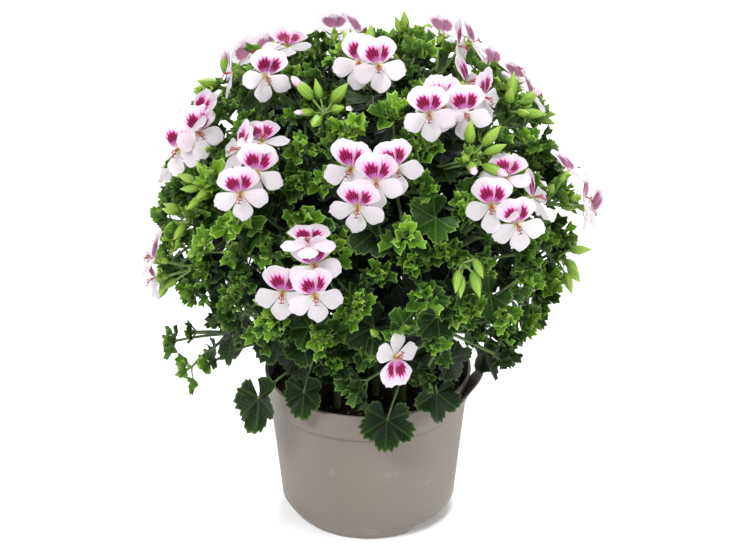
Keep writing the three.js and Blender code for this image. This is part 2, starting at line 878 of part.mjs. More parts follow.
// A bud: a pointed spindle on a thin stalk
function stalkedBud(hub, dir, extra) {
  const [u, v] = across(dir);
  const start = leavingHub(hub, along(hub.at, dir, BUD.stalk));
  const ring = (distance, radius) =>
    ringAt(along(start, dir, distance), u, v, radius + extra / Math.cos(Math.PI / BUD.sides), BUD.sides);
  return capped(skin([
    ring(0, BUD.stalkRadius),
    ring(BUD.stalk, BUD.stalkRadius),
    ring(BUD.stalk + BUD.length * 0.42, BUD.radius),
    [along(start, dir, BUD.stalk + BUD.length + extra)],
  ]));
}

// Where the pedicels of a head meet: behind its flowers, nearer the crown and a little lower
function hubOf(frames) {
  const necks = frames.map((f) => along(f.at, f.face, -CALYX.length));
  const middle = necks.reduce((sum, p) => sum.add(p), vec(0, 0, 0)).divideScalar(frames.length);
  const inward = CROWN.clone().sub(middle).normalize();
  const at = along(along(middle, inward, FLOWER.pedicel - CALYX.length), UP, -3);
  return { at, face: middle.clone().sub(at).normalize() };
}

// A stalk that curves from a stem out to a hub, and swells under it into a flat top
function peduncle(curve, hub, extra) {
  const { radius, sides, steps, hubThickness } = PEDUNCLE;
  const path = [...pathOf(curve, steps).slice(0, -1), along(hub.at, hub.face, -hubThickness)];
  const rings = ringsAlong(path, radius, radius * 1.3, sides, extra);
  const [u, v] = across(hub.face);
  const top = ringAt(along(hub.at, hub.face, extra), u, v, (PEDUNCLE.hub + extra) * 1.1, sides);
  return capped(skin([...rings, closestTurn(rings.at(-1), top)]));
}

function growHead(head, index, stems) {
  const frames = gathered(head.flowers);
  const hub = hubOf(frames);
  const [u, v] = across(hub.face);
  const pieces = frames.map((frame) => pieceOf("stalk", (extra) => pedicelAndCalyx(frame, hub, extra)));
  for (let k = 0; k < head.buds; k++) {
    const turn = rad(360 * chance(index, 40) + (360 / head.buds) * k);
    const lean = blendOf([hub.face, 0.8], [u, Math.cos(turn)], [v, Math.sin(turn)]);
    pieces.push(pieceOf("stalk", (extra) => stalkedBud(hub, lean, extra)));
  }
  for (const stem of stemsToward(hub.face, stems, 5))
    for (const share of [0.66, 0.86, 0.58, 0.42]) {
      const start = stem.curve.getPoint(share);
      const outward = hub.at.clone().sub(start).normalize();
      const away = blendOf([stem.curve.getTangent(share), 0.5], [outward, 0.5]);
      const curve = bend(start, away, along(hub.at, hub.face, -PEDUNCLE.hubThickness), 0.4);
      const all = [pieceOf("stalk", (extra) => peduncle(curve, hub, extra)), ...pieces];
      if (!all.every((piece) => isClear(stem.name, piece))) continue;
      for (const piece of all) keepPiece(stem.name, piece);
      return { frames, green: Manifold.union(all.flatMap(({ parts }) => [parts[0].fat, parts[0].body])) };
    }
  throw new Error(`the head ${head.name} meets another stem on every way in`);
}

// The leaves

function bladePiece(frame, outline, radius, width, path) {
  return pieceOf("blade", (extra) => {
    const fatter = 2 * extra;
    return stalkedBlade(frame, sized(outline, radius, extra), LEAF.thickness + fatter, width + fatter, path);
  });
}

// A leaf that leaves a shoot along a direction
function leafPiece(start, aim, length, radius, face) {
  const root = along(start, aim, length);
  const frame = frameOf(root, aim, face);
  const curve = bend(start, aim, along(root, frame.tip, -0.8), 0.5);
  const path = pathOf(curve, 2).slice(0, 2);
  return bladePiece(frame, LEAF_OUTLINE, radius, LEAF.petioleWidth, path);
}

function leafAttempts(curve, seed, share, radius) {
  const at = curve.getPoint(share);
  const ahead = curve.getTangent(share);
  const [u, v] = across(ahead);
  const outward = at.clone().sub(CROWN).normalize();
  return TURNS.map((turn) => () => {
    const angle = rad(GOLDEN_TURN * seed + turn);
    const aim = blendOf([u, Math.cos(angle)], [v, Math.sin(angle)], [ahead, 0.5], [outward, 0.35]);
    const face = blendOf([outward, 0.62], [UP, 0.55], [aim, 0.2]);
    return leafPiece(at, aim, LEAF.petiole * (0.85 + 0.4 * chance(seed, 2)), radius, face);
  });
}

// A side shoot leaves its stem part-way up and ends at its own tip on the dome
function shootCurves(stem) {
  const from = stem.curve.getPoint(SHOOT.from);
  const leaving = stem.curve.getTangent(SHOOT.from);
  const sign = stem.index % 2 ? 1 : -1;
  const reach = stem.tip.distanceTo(CROWN) - SHOOT.shorter;
  return SHOOT.ways.map(([turn, lift]) => {
    const crowding = Math.max(0.35, Math.cos(rad(stem.elevation)));
    const azimuth = stem.azimuth + (sign * turn * SHOOT.turn) / crowding;
    const tip = along(CROWN, direction(azimuth, stem.elevation + lift * SHOOT.lift), reach);
    return bend(from, blendOf([leaving, 0.5], [tip.clone().sub(from).normalize(), 0.6]), tip, 0.45);
  });
}

const shootRings = (curve, extra) =>
  ringsAlong(pathOf(curve, SHOOT.steps), SHOOT.baseRadius, SHOOT.tipRadius, ROSETTE.leaves, extra);

// A shoot with its rosette, which is smaller on each further attempt
function rosettePieces({ radius, attempts }, outline, seed, ringsWith) {
  return attempts.map((share) => () => {
    const reach = radius * share * (0.88 + 0.24 * chance(seed, 7));
    const frame = rosetteFrame(ringsWith(0));
    const thicker = (extra) => ROSETTE.thickness + 2 * extra;
    const shaft = pieceOf("stem", (extra) => capped(skin(ringsWith(extra))));
    const leaves = pieceOf("blade", (extra) =>
      roundBlade(frame, sized(outline, reach, extra), thicker(extra)));
    const both = pieceOf("whole", (extra) =>
      shootWithRosette(ringsWith(extra), outline, reach + extra, thicker(extra)));
    return { parts: [shaft, leaves, both].flatMap(({ parts }) => parts), whole: both.whole };
  });
}

function growShoot(stem) {
  for (const curve of shootCurves(stem)) {
    const seed = 2 * stem.index + 1;
    const attempts = rosettePieces(ROSETTE, ROSETTE_OUTLINE, seed, (extra) => shootRings(curve, extra));
    if (placeFirstClear(stem.name, attempts)) return curve;
  }
  return null;
}

// True if something of this reach would stand in a flower's petals or before them
function hidesFlower(place, reach, flowers) {
  return flowers.some(({ at, face }) => {
    const away = place.clone().sub(at);
    const height = away.dot(face);
    const aside = along(away, face, -height).length();
    return height > -3 - 0.3 * reach && height < 34 && aside < 14 + reach;
  });
}

// A tuft of young leaves on a thin, straight shoot. The tufts are spread evenly over a belt of the dome,
// whose lowest and highest are sines of elevations, and stand where they are clear, further in if need be.
function growTuft(k, stems, flowers) {
  const rise = TUFT.lowest + ((TUFT.highest - TUFT.lowest) * (k + 0.5)) / TUFT.count;
  const way = direction(GOLDEN_TURN * k, THREE.MathUtils.radToDeg(Math.asin(rise)));
  for (const inward of TUFT.inward) {
    const place = along(CROWN, way, TUFT.reach + TUFT.spread * chance(k, 51) - inward);
    if (hidesFlower(place, TUFT.radius, flowers)) continue;
    for (const stem of stemsToward(way, stems, 2))
      for (const share of TUFT.shares) {
        const path = [stem.curve.getPoint(share), place];
        const rings = (extra) => ringsAlong(path, TUFT.baseRadius, TUFT.tipRadius, TUFT.leaves, extra);
        if (placeFirstClear(stem.name, rosettePieces(TUFT, TUFT_OUTLINE, k, rings))) return;
      }
  }
}

function growSetLeaf([azimuth, distance, height, radius, faceElevation, roll], stems) {
  const face = direction(azimuth, faceElevation);
  const tip = across(face)[1].negate().applyAxisAngle(face, rad(roll));
  const at = along(along(vec(0, 0, height), direction(azimuth, 0), distance), tip, -radius * 0.35);
  const frame = frameOf(at, tip, face);
  const outline = radius < LEAF.largeFrom ? LEAF_OUTLINE : LARGE_OUTLINE;
  const low = direction(azimuth, -20);
  const leaving = blendOf([UP, 0.9], [direction(azimuth, 0), 0.6]);
  for (const stem of stemsToward(low, stems, 3)) {
    const attempts = [0.3, 0.45, 0.2, 0.6].map((share) => () => {
      const curve = bend(stem.curve.getPoint(share), leaving, along(at, frame.tip, -0.8), 0.45);
      return bladePiece(frame, outline, radius, LEAF.setPetioleWidth, pathOf(curve, 3).slice(0, 3));
    });
    if (placeFirstClear(stem.name, attempts)) return;
  }
}

// Growing the plant: what has a set place first, and then each leaf where it is clear of the rest

const plant = new THREE.Group();

function addNode(name, manifold, colour, roughness) {
  const material = new THREE.MeshStandardMaterial({ color: colour, roughness, metalness: 0 });
  const mesh = new THREE.Mesh(geometryOf(manifold), material);
  mesh.name = name;
  plant.add(mesh);
}

const stems = stemList();
const pot = makePot();
const soil = makeSoil(stems);
reserve("pot", "pot", pot);
reserve("soil", "soil", soil);
for (const stem of stems) reserve(stem.name, "stem", capped(skin(stemRings(stem, 0))));
const heads = HEADS.map((head, index) => ({ head, ...growHead(head, index, stems) }));
const shafts = stems.map((stem) => capped(skin(stemRings(stem, CLEARANCE))));
const greens = Manifold.union([...shafts, ...heads.map(({ green }) => green)]);
const blooms = [];
for (const { head, frames } of heads) {
  const petals = Manifold.union(frames.map(corolla)).subtract(greens);
  const whole = petals.decompose().filter((body) => body.volume() > 150);
  whole.forEach((body, k) => {
    const name = whole.length > 1 ? `petals_${head.name}_${k + 1}` : `petals_${head.name}`;
    blooms.push(name);
    keepPiece(name, { parts: [{ kind: "blade", body }], whole: body });
  });
}
for (const leaf of SET_LEAVES) growSetLeaf(leaf, stems);
for (const stem of stems) {
  const rings = (extra) => stemRings(stem, extra);
  const attempts = rosettePieces(ROSETTE, ROSETTE_OUTLINE, 2 * stem.index, rings);
  const bare = { parts: [], whole: capped(skin(stemRings(stem, 0))) };
  if (!placeFirstClear(stem.name, attempts)) keepPiece(stem.name, bare);
}
const shoots = stems.map((stem) => [stem, stem.elevation > 0 ? growShoot(stem) : null]);
for (const [stem, shoot] of shoots) {
  LEAF.shares.forEach((share, k) => {
    const seed = 10 * stem.index + k;
    const radius = LEAF.radius * (0.9 + 0.25 * chance(seed, 1) + 0.15 * k);
    placeFirstClear(stem.name, leafAttempts(stem.curve, seed, share, radius));
  });
  if (shoot) {
    const seed = 10 * stem.index + 7;
    const radius = LEAF.radius * (0.75 + 0.3 * chance(seed, 1));
    placeFirstClear(stem.name, leafAttempts(shoot, seed, 0.72, radius));
  }
}
const flowers = heads.flatMap(({ frames }) => frames);
for (let k = 0; k < TUFT.count; k++) growTuft(k, stems, flowers);

addNode("pot", pot, 0x9b918a, 0.6);
addNode("soil", soil, 0x3a2a20, 0.95);
for (const stem of stems) addNode(stem.name, Manifold.union(nodes.get(stem.name)), 0x4f8a35, 0.6);
for (const name of blooms) addNode(name, nodes.get(name)[0], 0xf6ecf4, 0.55);

export default plant;
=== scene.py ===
import math
import re

import bmesh
import bpy
import numpy as np
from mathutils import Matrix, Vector, noise
from mathutils.kdtree import KDTree


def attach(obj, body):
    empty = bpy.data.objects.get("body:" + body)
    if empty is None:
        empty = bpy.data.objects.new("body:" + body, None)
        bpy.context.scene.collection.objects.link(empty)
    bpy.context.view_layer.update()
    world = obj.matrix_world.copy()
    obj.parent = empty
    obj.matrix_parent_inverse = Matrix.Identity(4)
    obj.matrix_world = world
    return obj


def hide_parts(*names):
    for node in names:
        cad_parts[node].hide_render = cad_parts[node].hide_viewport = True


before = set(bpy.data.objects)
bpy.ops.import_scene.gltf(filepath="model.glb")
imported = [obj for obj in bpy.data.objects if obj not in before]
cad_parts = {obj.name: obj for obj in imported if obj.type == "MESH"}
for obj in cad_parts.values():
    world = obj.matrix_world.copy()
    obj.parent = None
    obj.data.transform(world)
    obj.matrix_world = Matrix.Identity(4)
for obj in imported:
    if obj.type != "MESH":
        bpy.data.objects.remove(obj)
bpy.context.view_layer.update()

# The studio: the plant stands on a pale floor in white daylight, seen from a little above.
# Its camera stands about a metre away and looks down at the middle of the bush.

CAMERA_PITCH = math.radians(27)
CAMERA_AIM = Vector((0.0045, 0, 0.160))
CAMERA_DISTANCE = 1.060
FLOOR_REACH = 6.0


def placed(name, data):
    """A new object of the scene that holds this data."""
    thing = bpy.data.objects.new(name, data)
    bpy.context.scene.collection.objects.link(thing)
    return thing


view_line = Vector((0, math.cos(CAMERA_PITCH), -math.sin(CAMERA_PITCH)))
camera = placed("studio_camera", bpy.data.cameras.new("studio_camera"))
camera.data.sensor_width = 36
camera.data.lens = 81.6
camera.location = CAMERA_AIM - view_line * CAMERA_DISTANCE
camera.rotation_euler = view_line.to_track_quat("-Z", "Y").to_euler()
bpy.context.scene.camera = camera
bpy.context.scene.view_settings.view_transform = "Standard"

daylight = bpy.data.worlds.new("white_daylight")
daylight.use_nodes = True
daylight.node_tree.nodes["Background"].inputs["Color"].default_value = (1, 1, 1, 1)
daylight.node_tree.nodes["Background"].inputs["Strength"].default_value = 0.44
bpy.context.scene.world = daylight


def soft_light(name, place, aim, size, power):
    lamp = bpy.data.lights.new(name, "AREA")
    lamp.shape = "DISK"
    lamp.size = size
    lamp.energy = power
    thing = placed(name, lamp)
    thing.location = place
    thing.rotation_euler = (Vector(aim) - Vector(place)).to_track_quat("-Z", "Y").to_euler()


soft_light("key_light", (-0.9, -1.5, 1.9), (0, 0, 0.18), size=0.8, power=56)
soft_light("fill_light", (1.6, -0.9, 1.0), (0, 0, 0.18), size=1.2, power=20)
soft_light("back_light", (0.3, 1.5, 1.5), (0, 0, 0.22), size=1.0, power=44)


class Shade:
    """One socket of a node tree. Calculating with it adds Math nodes, and node() adds any other."""

    def __init__(self, tree, socket=None):
        self.tree = tree
        self.socket = socket

    def feed(self, socket, value):
        if isinstance(value, Shade):
            self.tree.links.new(value.socket, socket)
        else:
            socket.default_value = value

    def node(self, kind, inputs=None, output=0, stops=None, **settings):
        """Adds a node. Sockets go by their names, or by number where several share a name."""
        made = self.tree.nodes.new(kind)
        for name, value in settings.items():
            setattr(made, name, value)
        if stops:
            ramp = made.color_ramp
            while len(ramp.elements) < len(stops):
                ramp.elements.new(1)
            for element, (place, colour) in zip(ramp.elements, stops):
                element.position = place
                element.color = (*colour, 1)
        for key, value in (inputs or {}).items():
            self.feed(made.inputs[key], value)
        return Shade(self.tree, made.outputs[output])

    def maths(self, operation, *values):
        return self.node("ShaderNodeMath", dict(enumerate(values)), operation=operation)

    __add__ = lambda self, other: self.maths("ADD", self, other)
    __radd__ = lambda self, other: self.maths("ADD", other, self)
    __sub__ = lambda self, other: self.maths("SUBTRACT", self, other)
    __rsub__ = lambda self, other: self.maths("SUBTRACT", other, self)
    __mul__ = lambda self, other: self.maths("MULTIPLY", self, other)
    __rmul__ = lambda self, other: self.maths("MULTIPLY", other, self)
    __truediv__ = lambda self, other: self.maths("DIVIDE", self, other)
    __rtruediv__ = lambda self, other: self.maths("DIVIDE", other, self)
    __pow__ = lambda self, other: self.maths("POWER", self, other)
    __abs__ = lambda self: self.maths("ABSOLUTE", self)

    def between(self, low, high):
        """0 below low, 1 above high, and smooth between them. It falls where high is below low."""
        if low > high:
            return 1 - self.between(high, low)
        limits = {"Value": self, "From Min": low, "From Max": high, "To Min": 0.0, "To Max": 1.0}
        return self.node("ShaderNodeMapRange", limits, interpolation_type="SMOOTHSTEP")

    def mix(self, first, second):
        """The first colour where this is 0, and the second where it is 1."""
        colours = [value if isinstance(value, Shade) else (*value, 1) for value in (first, second)]
        return self.node("ShaderNodeMix", {0: self, 6: colours[0], 7: colours[1]}, 2, data_type="RGBA")

    def noise(self, scale, detail=3.0, where=None, roughness=0.55):
        inputs = {"Scale": scale, "Detail": detail, "Roughness": roughness}
        if where is not None:
            inputs["Vector"] = where
        return self.node("ShaderNodeTexNoise", inputs)

    def attribute(self, name):
        return self.node("ShaderNodeAttribute", output="Fac", attribute_name=name)

    def place(self):
        """The point of the piece, in metres."""
        return self.node("ShaderNodeTexCoord", output="Object")

    def plane(self):
        """The two coordinates of the piece's own UV map."""
        plane = self.node("ShaderNodeUVMap", uv_map="plane")
        split = self.node("ShaderNodeSeparateXYZ", {"Vector": plane}, "X")
        return split, Shade(self.tree, split.socket.node.outputs["Y"])

    def bump(self, height, strength, distance):
        return self.node("ShaderNodeBump", {"Height": height, "Strength": strength, "Distance": distance})

    def thin(self, share, colour):
        """Lets a share of the light through a thin skin, with this colour."""
        through = self.node("ShaderNodeBsdfTranslucent", {"Color": (*colour, 1)})
        solid = Shade(self.tree, self.tree.nodes["Principled BSDF"].outputs["BSDF"])
        both = self.node("ShaderNodeMixShader", {"Fac": share, 1: solid, 2: through})
        self.feed(self.tree.nodes["Material Output"].inputs["Surface"], both)


def finish_of(name, paint, **constants):
    """A material whose paint function gives the shader's sockets that change over the surface."""
    material = bpy.data.materials.new(name)
    material.use_nodes = True
    tree = material.node_tree
    shader = tree.nodes["Principled BSDF"]
    start = Shade(tree)
    for key, value in constants.items():
        shader.inputs[key.replace("_", " ")].default_value = value
    for key, value in paint(start).items():
        start.feed(shader.inputs[key], value)
    return material


def paint_floor(s):
    place = s.place()
    speckle = s.noise(9.0, where=place)
    return {"Base Color": speckle.mix((0.93, 0.93, 0.935), (0.97, 0.97, 0.975)),
            "Roughness": 0.55 + 0.1 * speckle}


floor = placed("studio_floor", bpy.data.meshes.new("studio_floor"))
floor_corners = [(x * FLOOR_REACH, y * FLOOR_REACH, 0) for x, y in ((-1, -1), (1, -1), (1, 1), (-1, 1))]
floor.data.from_pydata(floor_corners, [], [(0, 1, 2, 3)])
floor.location = (0, 0, -0.0003)
floor.data.materials.append(finish_of("pale_floor", paint_floor, Specular_IOR_Level=0.2))

# The pot: a taupe nursery pot, moulded in polypropylene, with a collar under its rim, two raised
# drainage notches at its foot, holes in its floor, and an ear that leans out from its rim.

MM = 0.001
POT_RIM = 65.8
POT_WALL = 1.6
POT_FACETS = 144
NOTCH_AZIMUTHS = (47, 227)
NOTCH_HALF_WIDTH, NOTCH_HEIGHT = 19, 7.5
EAR_AZIMUTH, EAR_HALF_ANGLE, EAR_STEPS = 75, 15.6, 24
DRAIN_HOLES, DRAIN_HOLE_RADIUS, SIDE_HOLE_RADIUS = 5, 3.5, 2
ROD_SIDES = 20


def direction(azimuth, elevation):
    """The unit vector of an azimuth, 0 at the front and 90 at the right, and an elevation, in degrees."""
    a, e = math.radians(azimuth), math.radians(elevation)
    return np.array([math.sin(a) * math.cos(e), -math.cos(a) * math.cos(e), math.sin(e)])


def thing_of(name, points, faces):
    """An object from points in millimetres."""
    mesh = bpy.data.meshes.new(name)
    mesh.from_pydata([tuple(p) for p in np.asarray(points) * MM], [], faces)
    mesh.update()
    return placed(name, mesh)


def face_outwards(thing):
    work = bmesh.new()
    work.from_mesh(thing.data)
    bmesh.ops.remove_doubles(work, verts=work.verts, dist=1e-6)
    bmesh.ops.recalc_face_normals(work, faces=work.faces)
    work.to_mesh(thing.data)
    work.free()
    return thing


def turned(name, profile, facets=POT_FACETS):
    """A closed solid turned about the pot's axis, from a profile that starts and ends on the axis."""
    points = [(0, 0, profile[0][1])]
    for radius, z in profile[1:-1]:
        points += [(*(direction(360 * k / facets, 0)[:2] * radius), z) for k in range(facets)]
    points.append((0, 0, profile[-1][1]))
    ring = lambda i, k: 1 + i * facets + k % facets
    last = len(profile) - 3
    faces = [(0, ring(0, k + 1), ring(0, k)) for k in range(facets)]
    faces += [(ring(i, k), ring(i, k + 1), ring(i + 1, k + 1), ring(i + 1, k))
              for i in range(last) for k in range(facets)]
    faces += [(ring(last, k), ring(last, k + 1), len(points) - 1) for k in range(facets)]
    return face_outwards(thing_of(name, points, faces))


def swept(name, loops):
    """A closed solid through loops of as many points each, with flat ends."""
    count = len(loops[0])
    at = lambda i, k: i * count + k % count
    faces = [(at(i, k), at(i, k + 1), at(i + 1, k + 1), at(i + 1, k))
             for i in range(len(loops) - 1) for k in range(count)]
    faces += [tuple(range(count)), tuple(at(len(loops) - 1, k) for k in range(count))]
    return face_outwards(thing_of(name, np.concatenate(loops), faces))


def made_plain(thing):
    """The object with the result of its modifiers as its mesh, and without the modifiers."""
    made = bpy.data.meshes.new_from_object(thing.evaluated_get(bpy.context.evaluated_depsgraph_get()))
    thing.modifiers.clear()
    made.name = thing.name
    thing.data = made
    return thing


def join_to(thing, tool, operation):
    """Joins a tool to an object, or cuts the object with it, and throws the tool away."""
    bpy.context.view_layer.update()
    modifier = thing.modifiers.new("join", "BOOLEAN")
    modifier.object = tool
    modifier.operation = operation
    modifier.solver = "EXACT"
    made_plain(thing)
    bpy.data.objects.remove(tool)


def notch_block(name, azimuth, extra):
    """What a raised notch takes from the pot, or with the wall as the extra from the pot's hollow."""
    half, top = NOTCH_HALF_WIDTH + extra, NOTCH_HEIGHT + extra
    outline = [(-half, -5), (half, -5), (half - 6, top - 1.2), (half - 7.2, top), (7.2 - half, top),
               (6 - half, top - 1.2)]
    out, aside = direction(azimuth, 0), direction(azimuth + 90, 0)
    loops = [[out * radius + aside * x + np.array([0, 0, z]) for x, z in outline]
             for radius in (47 - extra, 70)]
    return swept(name, loops)


def rod(name, start, end, radius):
    start, end = np.asarray(start, float), np.asarray(end, float)
    way = (end - start) / np.linalg.norm(end - start)
    u = np.cross(way, (0, 0, 1) if abs(way[2]) < 0.9 else (0, 1, 0))
    u /= np.linalg.norm(u)
    v = np.cross(way, u)
    angles = [2 * math.pi * k / ROD_SIDES for k in range(ROD_SIDES)]
    return swept(name, [[p + radius * (u * math.cos(a) + v * math.sin(a)) for a in angles]
                        for p in (start, end)])


outer_profile = [
    (0, 0), (46, 0), (49.2, 0.15), (51.2, 0.9), (55.8, 7.4), (56.8, 9.2), (58.5, 28), (60.4, 50), (62.4, 71),
    (63.3, 81.2), (63.5, 81.9), (64.4, 82.4), (64.75, 83.2), (65.2, 90), (65.55, 97.4), (65.8, 98.6),
    (65.75, 99.5), (65.3, 99.95), (64.9, 100), (0, 100),
]
inner_profile = [
    (0, 2), (47.5, 2), (49.6, 3), (54.2, 8.4), (55.2, 10), (61.8, 82), (63.7, 98.8), (64.2, 99.7),
    (64.3, 104), (0, 104),
]
pot = turned("nursery_pot", outer_profile)
hollow = turned("pot_hollow", inner_profile)
for azimuth in NOTCH_AZIMUTHS:
    join_to(pot, notch_block("notch", azimuth, 0), "DIFFERENCE")
    join_to(hollow, notch_block("notch", azimuth, POT_WALL), "DIFFERENCE")

ear_section = [
    (-2.4, 87), (-0.9, 86.8), (8.7, 101.7), (8.9, 102.2), (8.4, 102.6), (7.7, 102.5), (-1.8, 90.4),
]
ear_root = ear_section[0][1]
ear_loops = []
for k in range(EAR_STEPS + 1):
    share = 2 * k / EAR_STEPS - 1
    falloff = 1 - 0.35 * abs(share) ** 5
    way = direction(EAR_AZIMUTH + EAR_HALF_ANGLE * share, 0)
    ear_loops.append([way * (POT_RIM + (lean * falloff if lean > 0 else lean))
                      + np.array([0, 0, ear_root + (z - ear_root) * falloff]) for lean, z in ear_section])
join_to(pot, swept("rim_ear", ear_loops), "UNION")
join_to(pot, hollow, "DIFFERENCE")
for k in range(DRAIN_HOLES):
    x, y, _ = direction(360 / DRAIN_HOLES * k, 0) * 26
    join_to(pot, rod("drain_hole", (x, y, -4), (x, y, 8), DRAIN_HOLE_RADIUS), "DIFFERENCE")
for azimuth in NOTCH_AZIMUTHS:
    inner = direction(azimuth, 0) * 41 + direction(azimuth + 90, 0) * 13 + np.array([0, 0, 3.8])
    outer = inner + direction(azimuth, 0) * 12
    join_to(pot, rod("side_hole", inner, outer, SIDE_HOLE_RADIUS), "DIFFERENCE")


def paint_pot(s):
    place = s.place()
    height = s.node("ShaderNodeSeparateXYZ", {"Vector": place}, "Z")
    cloud = s.noise(14.0, 4.0, place)
    grain = s.noise(1400.0, 2.0, place)
    smear = s.noise(60.0, 5.0, place, 0.7)
    dust = smear.between(0.58, 0.8) * height.between(0.10, 0.04)
    # Painted shadow: a darker band on the wall just under the collar, where its overhang shades the wall
    painted_collar_shadow = height.between(0.0792, 0.0818) * height.between(0.0826, 0.0820)
    colour = cloud.mix((0.166, 0.141, 0.120), (0.202, 0.176, 0.153))
    colour = (dust * 0.7).mix(colour, (0.31, 0.28, 0.24))
    colour = (painted_collar_shadow * 0.5).mix(colour, (0.085, 0.071, 0.060))
    return {"Base Color": colour, "Roughness": 0.46 + 0.16 * smear,
            "Normal": s.bump(grain + 0.6 * cloud, 0.22, 0.0004)}


pot.data.materials.clear()
pot.data.materials.append(finish_of("taupe_pot_plastic", paint_pot, Specular_IOR_Level=0.4))
pot.data.shade_smooth()
pot.data.set_sharp_from_angle(angle=math.radians(32))
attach(pot, "root")
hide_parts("pot")

# The soil: moist, dark peat mix with bits of bark and a few pale specks of perlite, poured in
# and settled a little under the rim. It is loose and crumbly on top.

SOIL_TOP, SOIL_RADIUS, SOIL_RINGS = 88, 61.9, 30


def roughness_at(x, y):
    """How far the soil's top stands above its mean height, in millimetres."""
    rough = noise.fractal(Vector((x * 0.09, y * 0.09, 3.1)), 0.7, 2.1, 4)
    return 1.7 * rough + 0.9 * noise.noise(Vector((x * 0.02, y * 0.02, 7.7)))


soil_wall = [
    (0, 2.35), (46.4, 2.35), (48.6, 3.4), (53.0, 8.8), (54.4, 10.6), (61.3, 82), (SOIL_RADIUS, 86.2),
]
soil_top = [(SOIL_RADIUS * (1 - k / SOIL_RINGS), SOIL_TOP) for k in range(SOIL_RINGS + 1)]
soil = turned("potting_soil", soil_wall + soil_top, facets=120)
for vertex in soil.data.vertices:
    if vertex.co.z > (SOIL_TOP - 1) * MM:
        vertex.co.z += roughness_at(vertex.co.x / MM, vertex.co.y / MM) * MM


class Growing:
    """A Geometry Nodes tree with named inputs, built in the order in which its shape is made."""

    def __init__(self, name, **sizes):
        self.tree = bpy.data.node_groups.new(name, "GeometryNodeTree")
        face = self.tree.interface
        face.new_socket("Geometry", in_out="INPUT", socket_type="NodeSocketGeometry")
        self.identifiers = {}
        kinds = {float: "NodeSocketFloat", int: "NodeSocketInt", bpy.types.Object: "NodeSocketObject",
                 bpy.types.Material: "NodeSocketMaterial"}
        for key, value in sizes.items():
            socket = face.new_socket(key, in_out="INPUT", socket_type=kinds[type(value)])
            self.identifiers[key] = socket.identifier
        face.new_socket("Geometry", in_out="OUTPUT", socket_type="NodeSocketGeometry")
        self.values = sizes
        self.start = Shade(self.tree)
        entry = self.tree.nodes.new("NodeGroupInput")
        self.entry = {socket.name: Shade(self.tree, socket) for socket in entry.outputs if socket.name}

    def node(self, kind, inputs=None, output=0, **settings):
        return self.start.node(kind, inputs, output, **settings)

    def join(self, parts):
        made = self.tree.nodes.new("GeometryNodeJoinGeometry")
        for part in reversed(parts):
            self.tree.links.new(part.socket, made.inputs["Geometry"])
        return Shade(self.tree, made.outputs["Geometry"])

    def finished(self, geometry, finish):
        """Realizes the instances and gives them a finish."""
        real = self.node("GeometryNodeRealizeInstances", {"Geometry": geometry})
        return self.node("GeometryNodeSetMaterial", {"Geometry": real, "Material": finish})

    def end(self, geometry):
        leave = self.tree.nodes.new("NodeGroupOutput")
        self.tree.links.new(geometry.socket, leave.inputs["Geometry"])

    def named(self, name, kind):
        """What each point of the growing mesh carries under a name."""
        return self.node("GeometryNodeInputNamedAttribute", {"Name": name}, data_type=kind)

    def shape(self, key):
        """An input's object, to be set out many times."""
        inputs = {"Object": self.entry[key], "As Instance": True}
        return self.node("GeometryNodeObjectInfo", inputs, "Geometry")

    def grow(self, thing):
        """Gives an object the tree's result as its plain mesh."""
        modifier = thing.modifiers.new("growing", "NODES")
        modifier.node_group = self.tree
        for key, value in self.values.items():
            modifier[self.identifiers[key]] = value
        return made_plain(thing)


def paint_soil(s):
    place = s.place()
    clod = s.noise(260.0, 6.0, place, 0.72)
    damp = s.noise(38.0, 3.0, place)
    fibre = s.noise(900.0, 4.0, place, 0.7)
    colour = s.node("ShaderNodeValToRGB", {"Fac": clod * 0.7 + 0.3 * fibre}, stops=[
        (0.36, (0.006, 0.004, 0.003)), (0.52, (0.026, 0.014, 0.009)),
        (0.66, (0.062, 0.033, 0.02)), (0.8, (0.12, 0.075, 0.045))])
    return {"Base Color": damp.between(0.62, 0.4).mix(colour, (0.012, 0.007, 0.005)),
            "Roughness": 0.82 + 0.15 * fibre, "Normal": s.bump(clod + 0.5 * fibre, 0.9, 0.0016)}


def paint_perlite(s):
    place = s.place()
    pit = s.noise(1500.0, 4.0, place, 0.7)
    return {"Base Color": pit.mix((0.16, 0.12, 0.09), (0.46, 0.42, 0.36)), "Roughness": 0.8 + 0.15 * pit,
            "Normal": s.bump(pit, 0.6, 0.0004)}


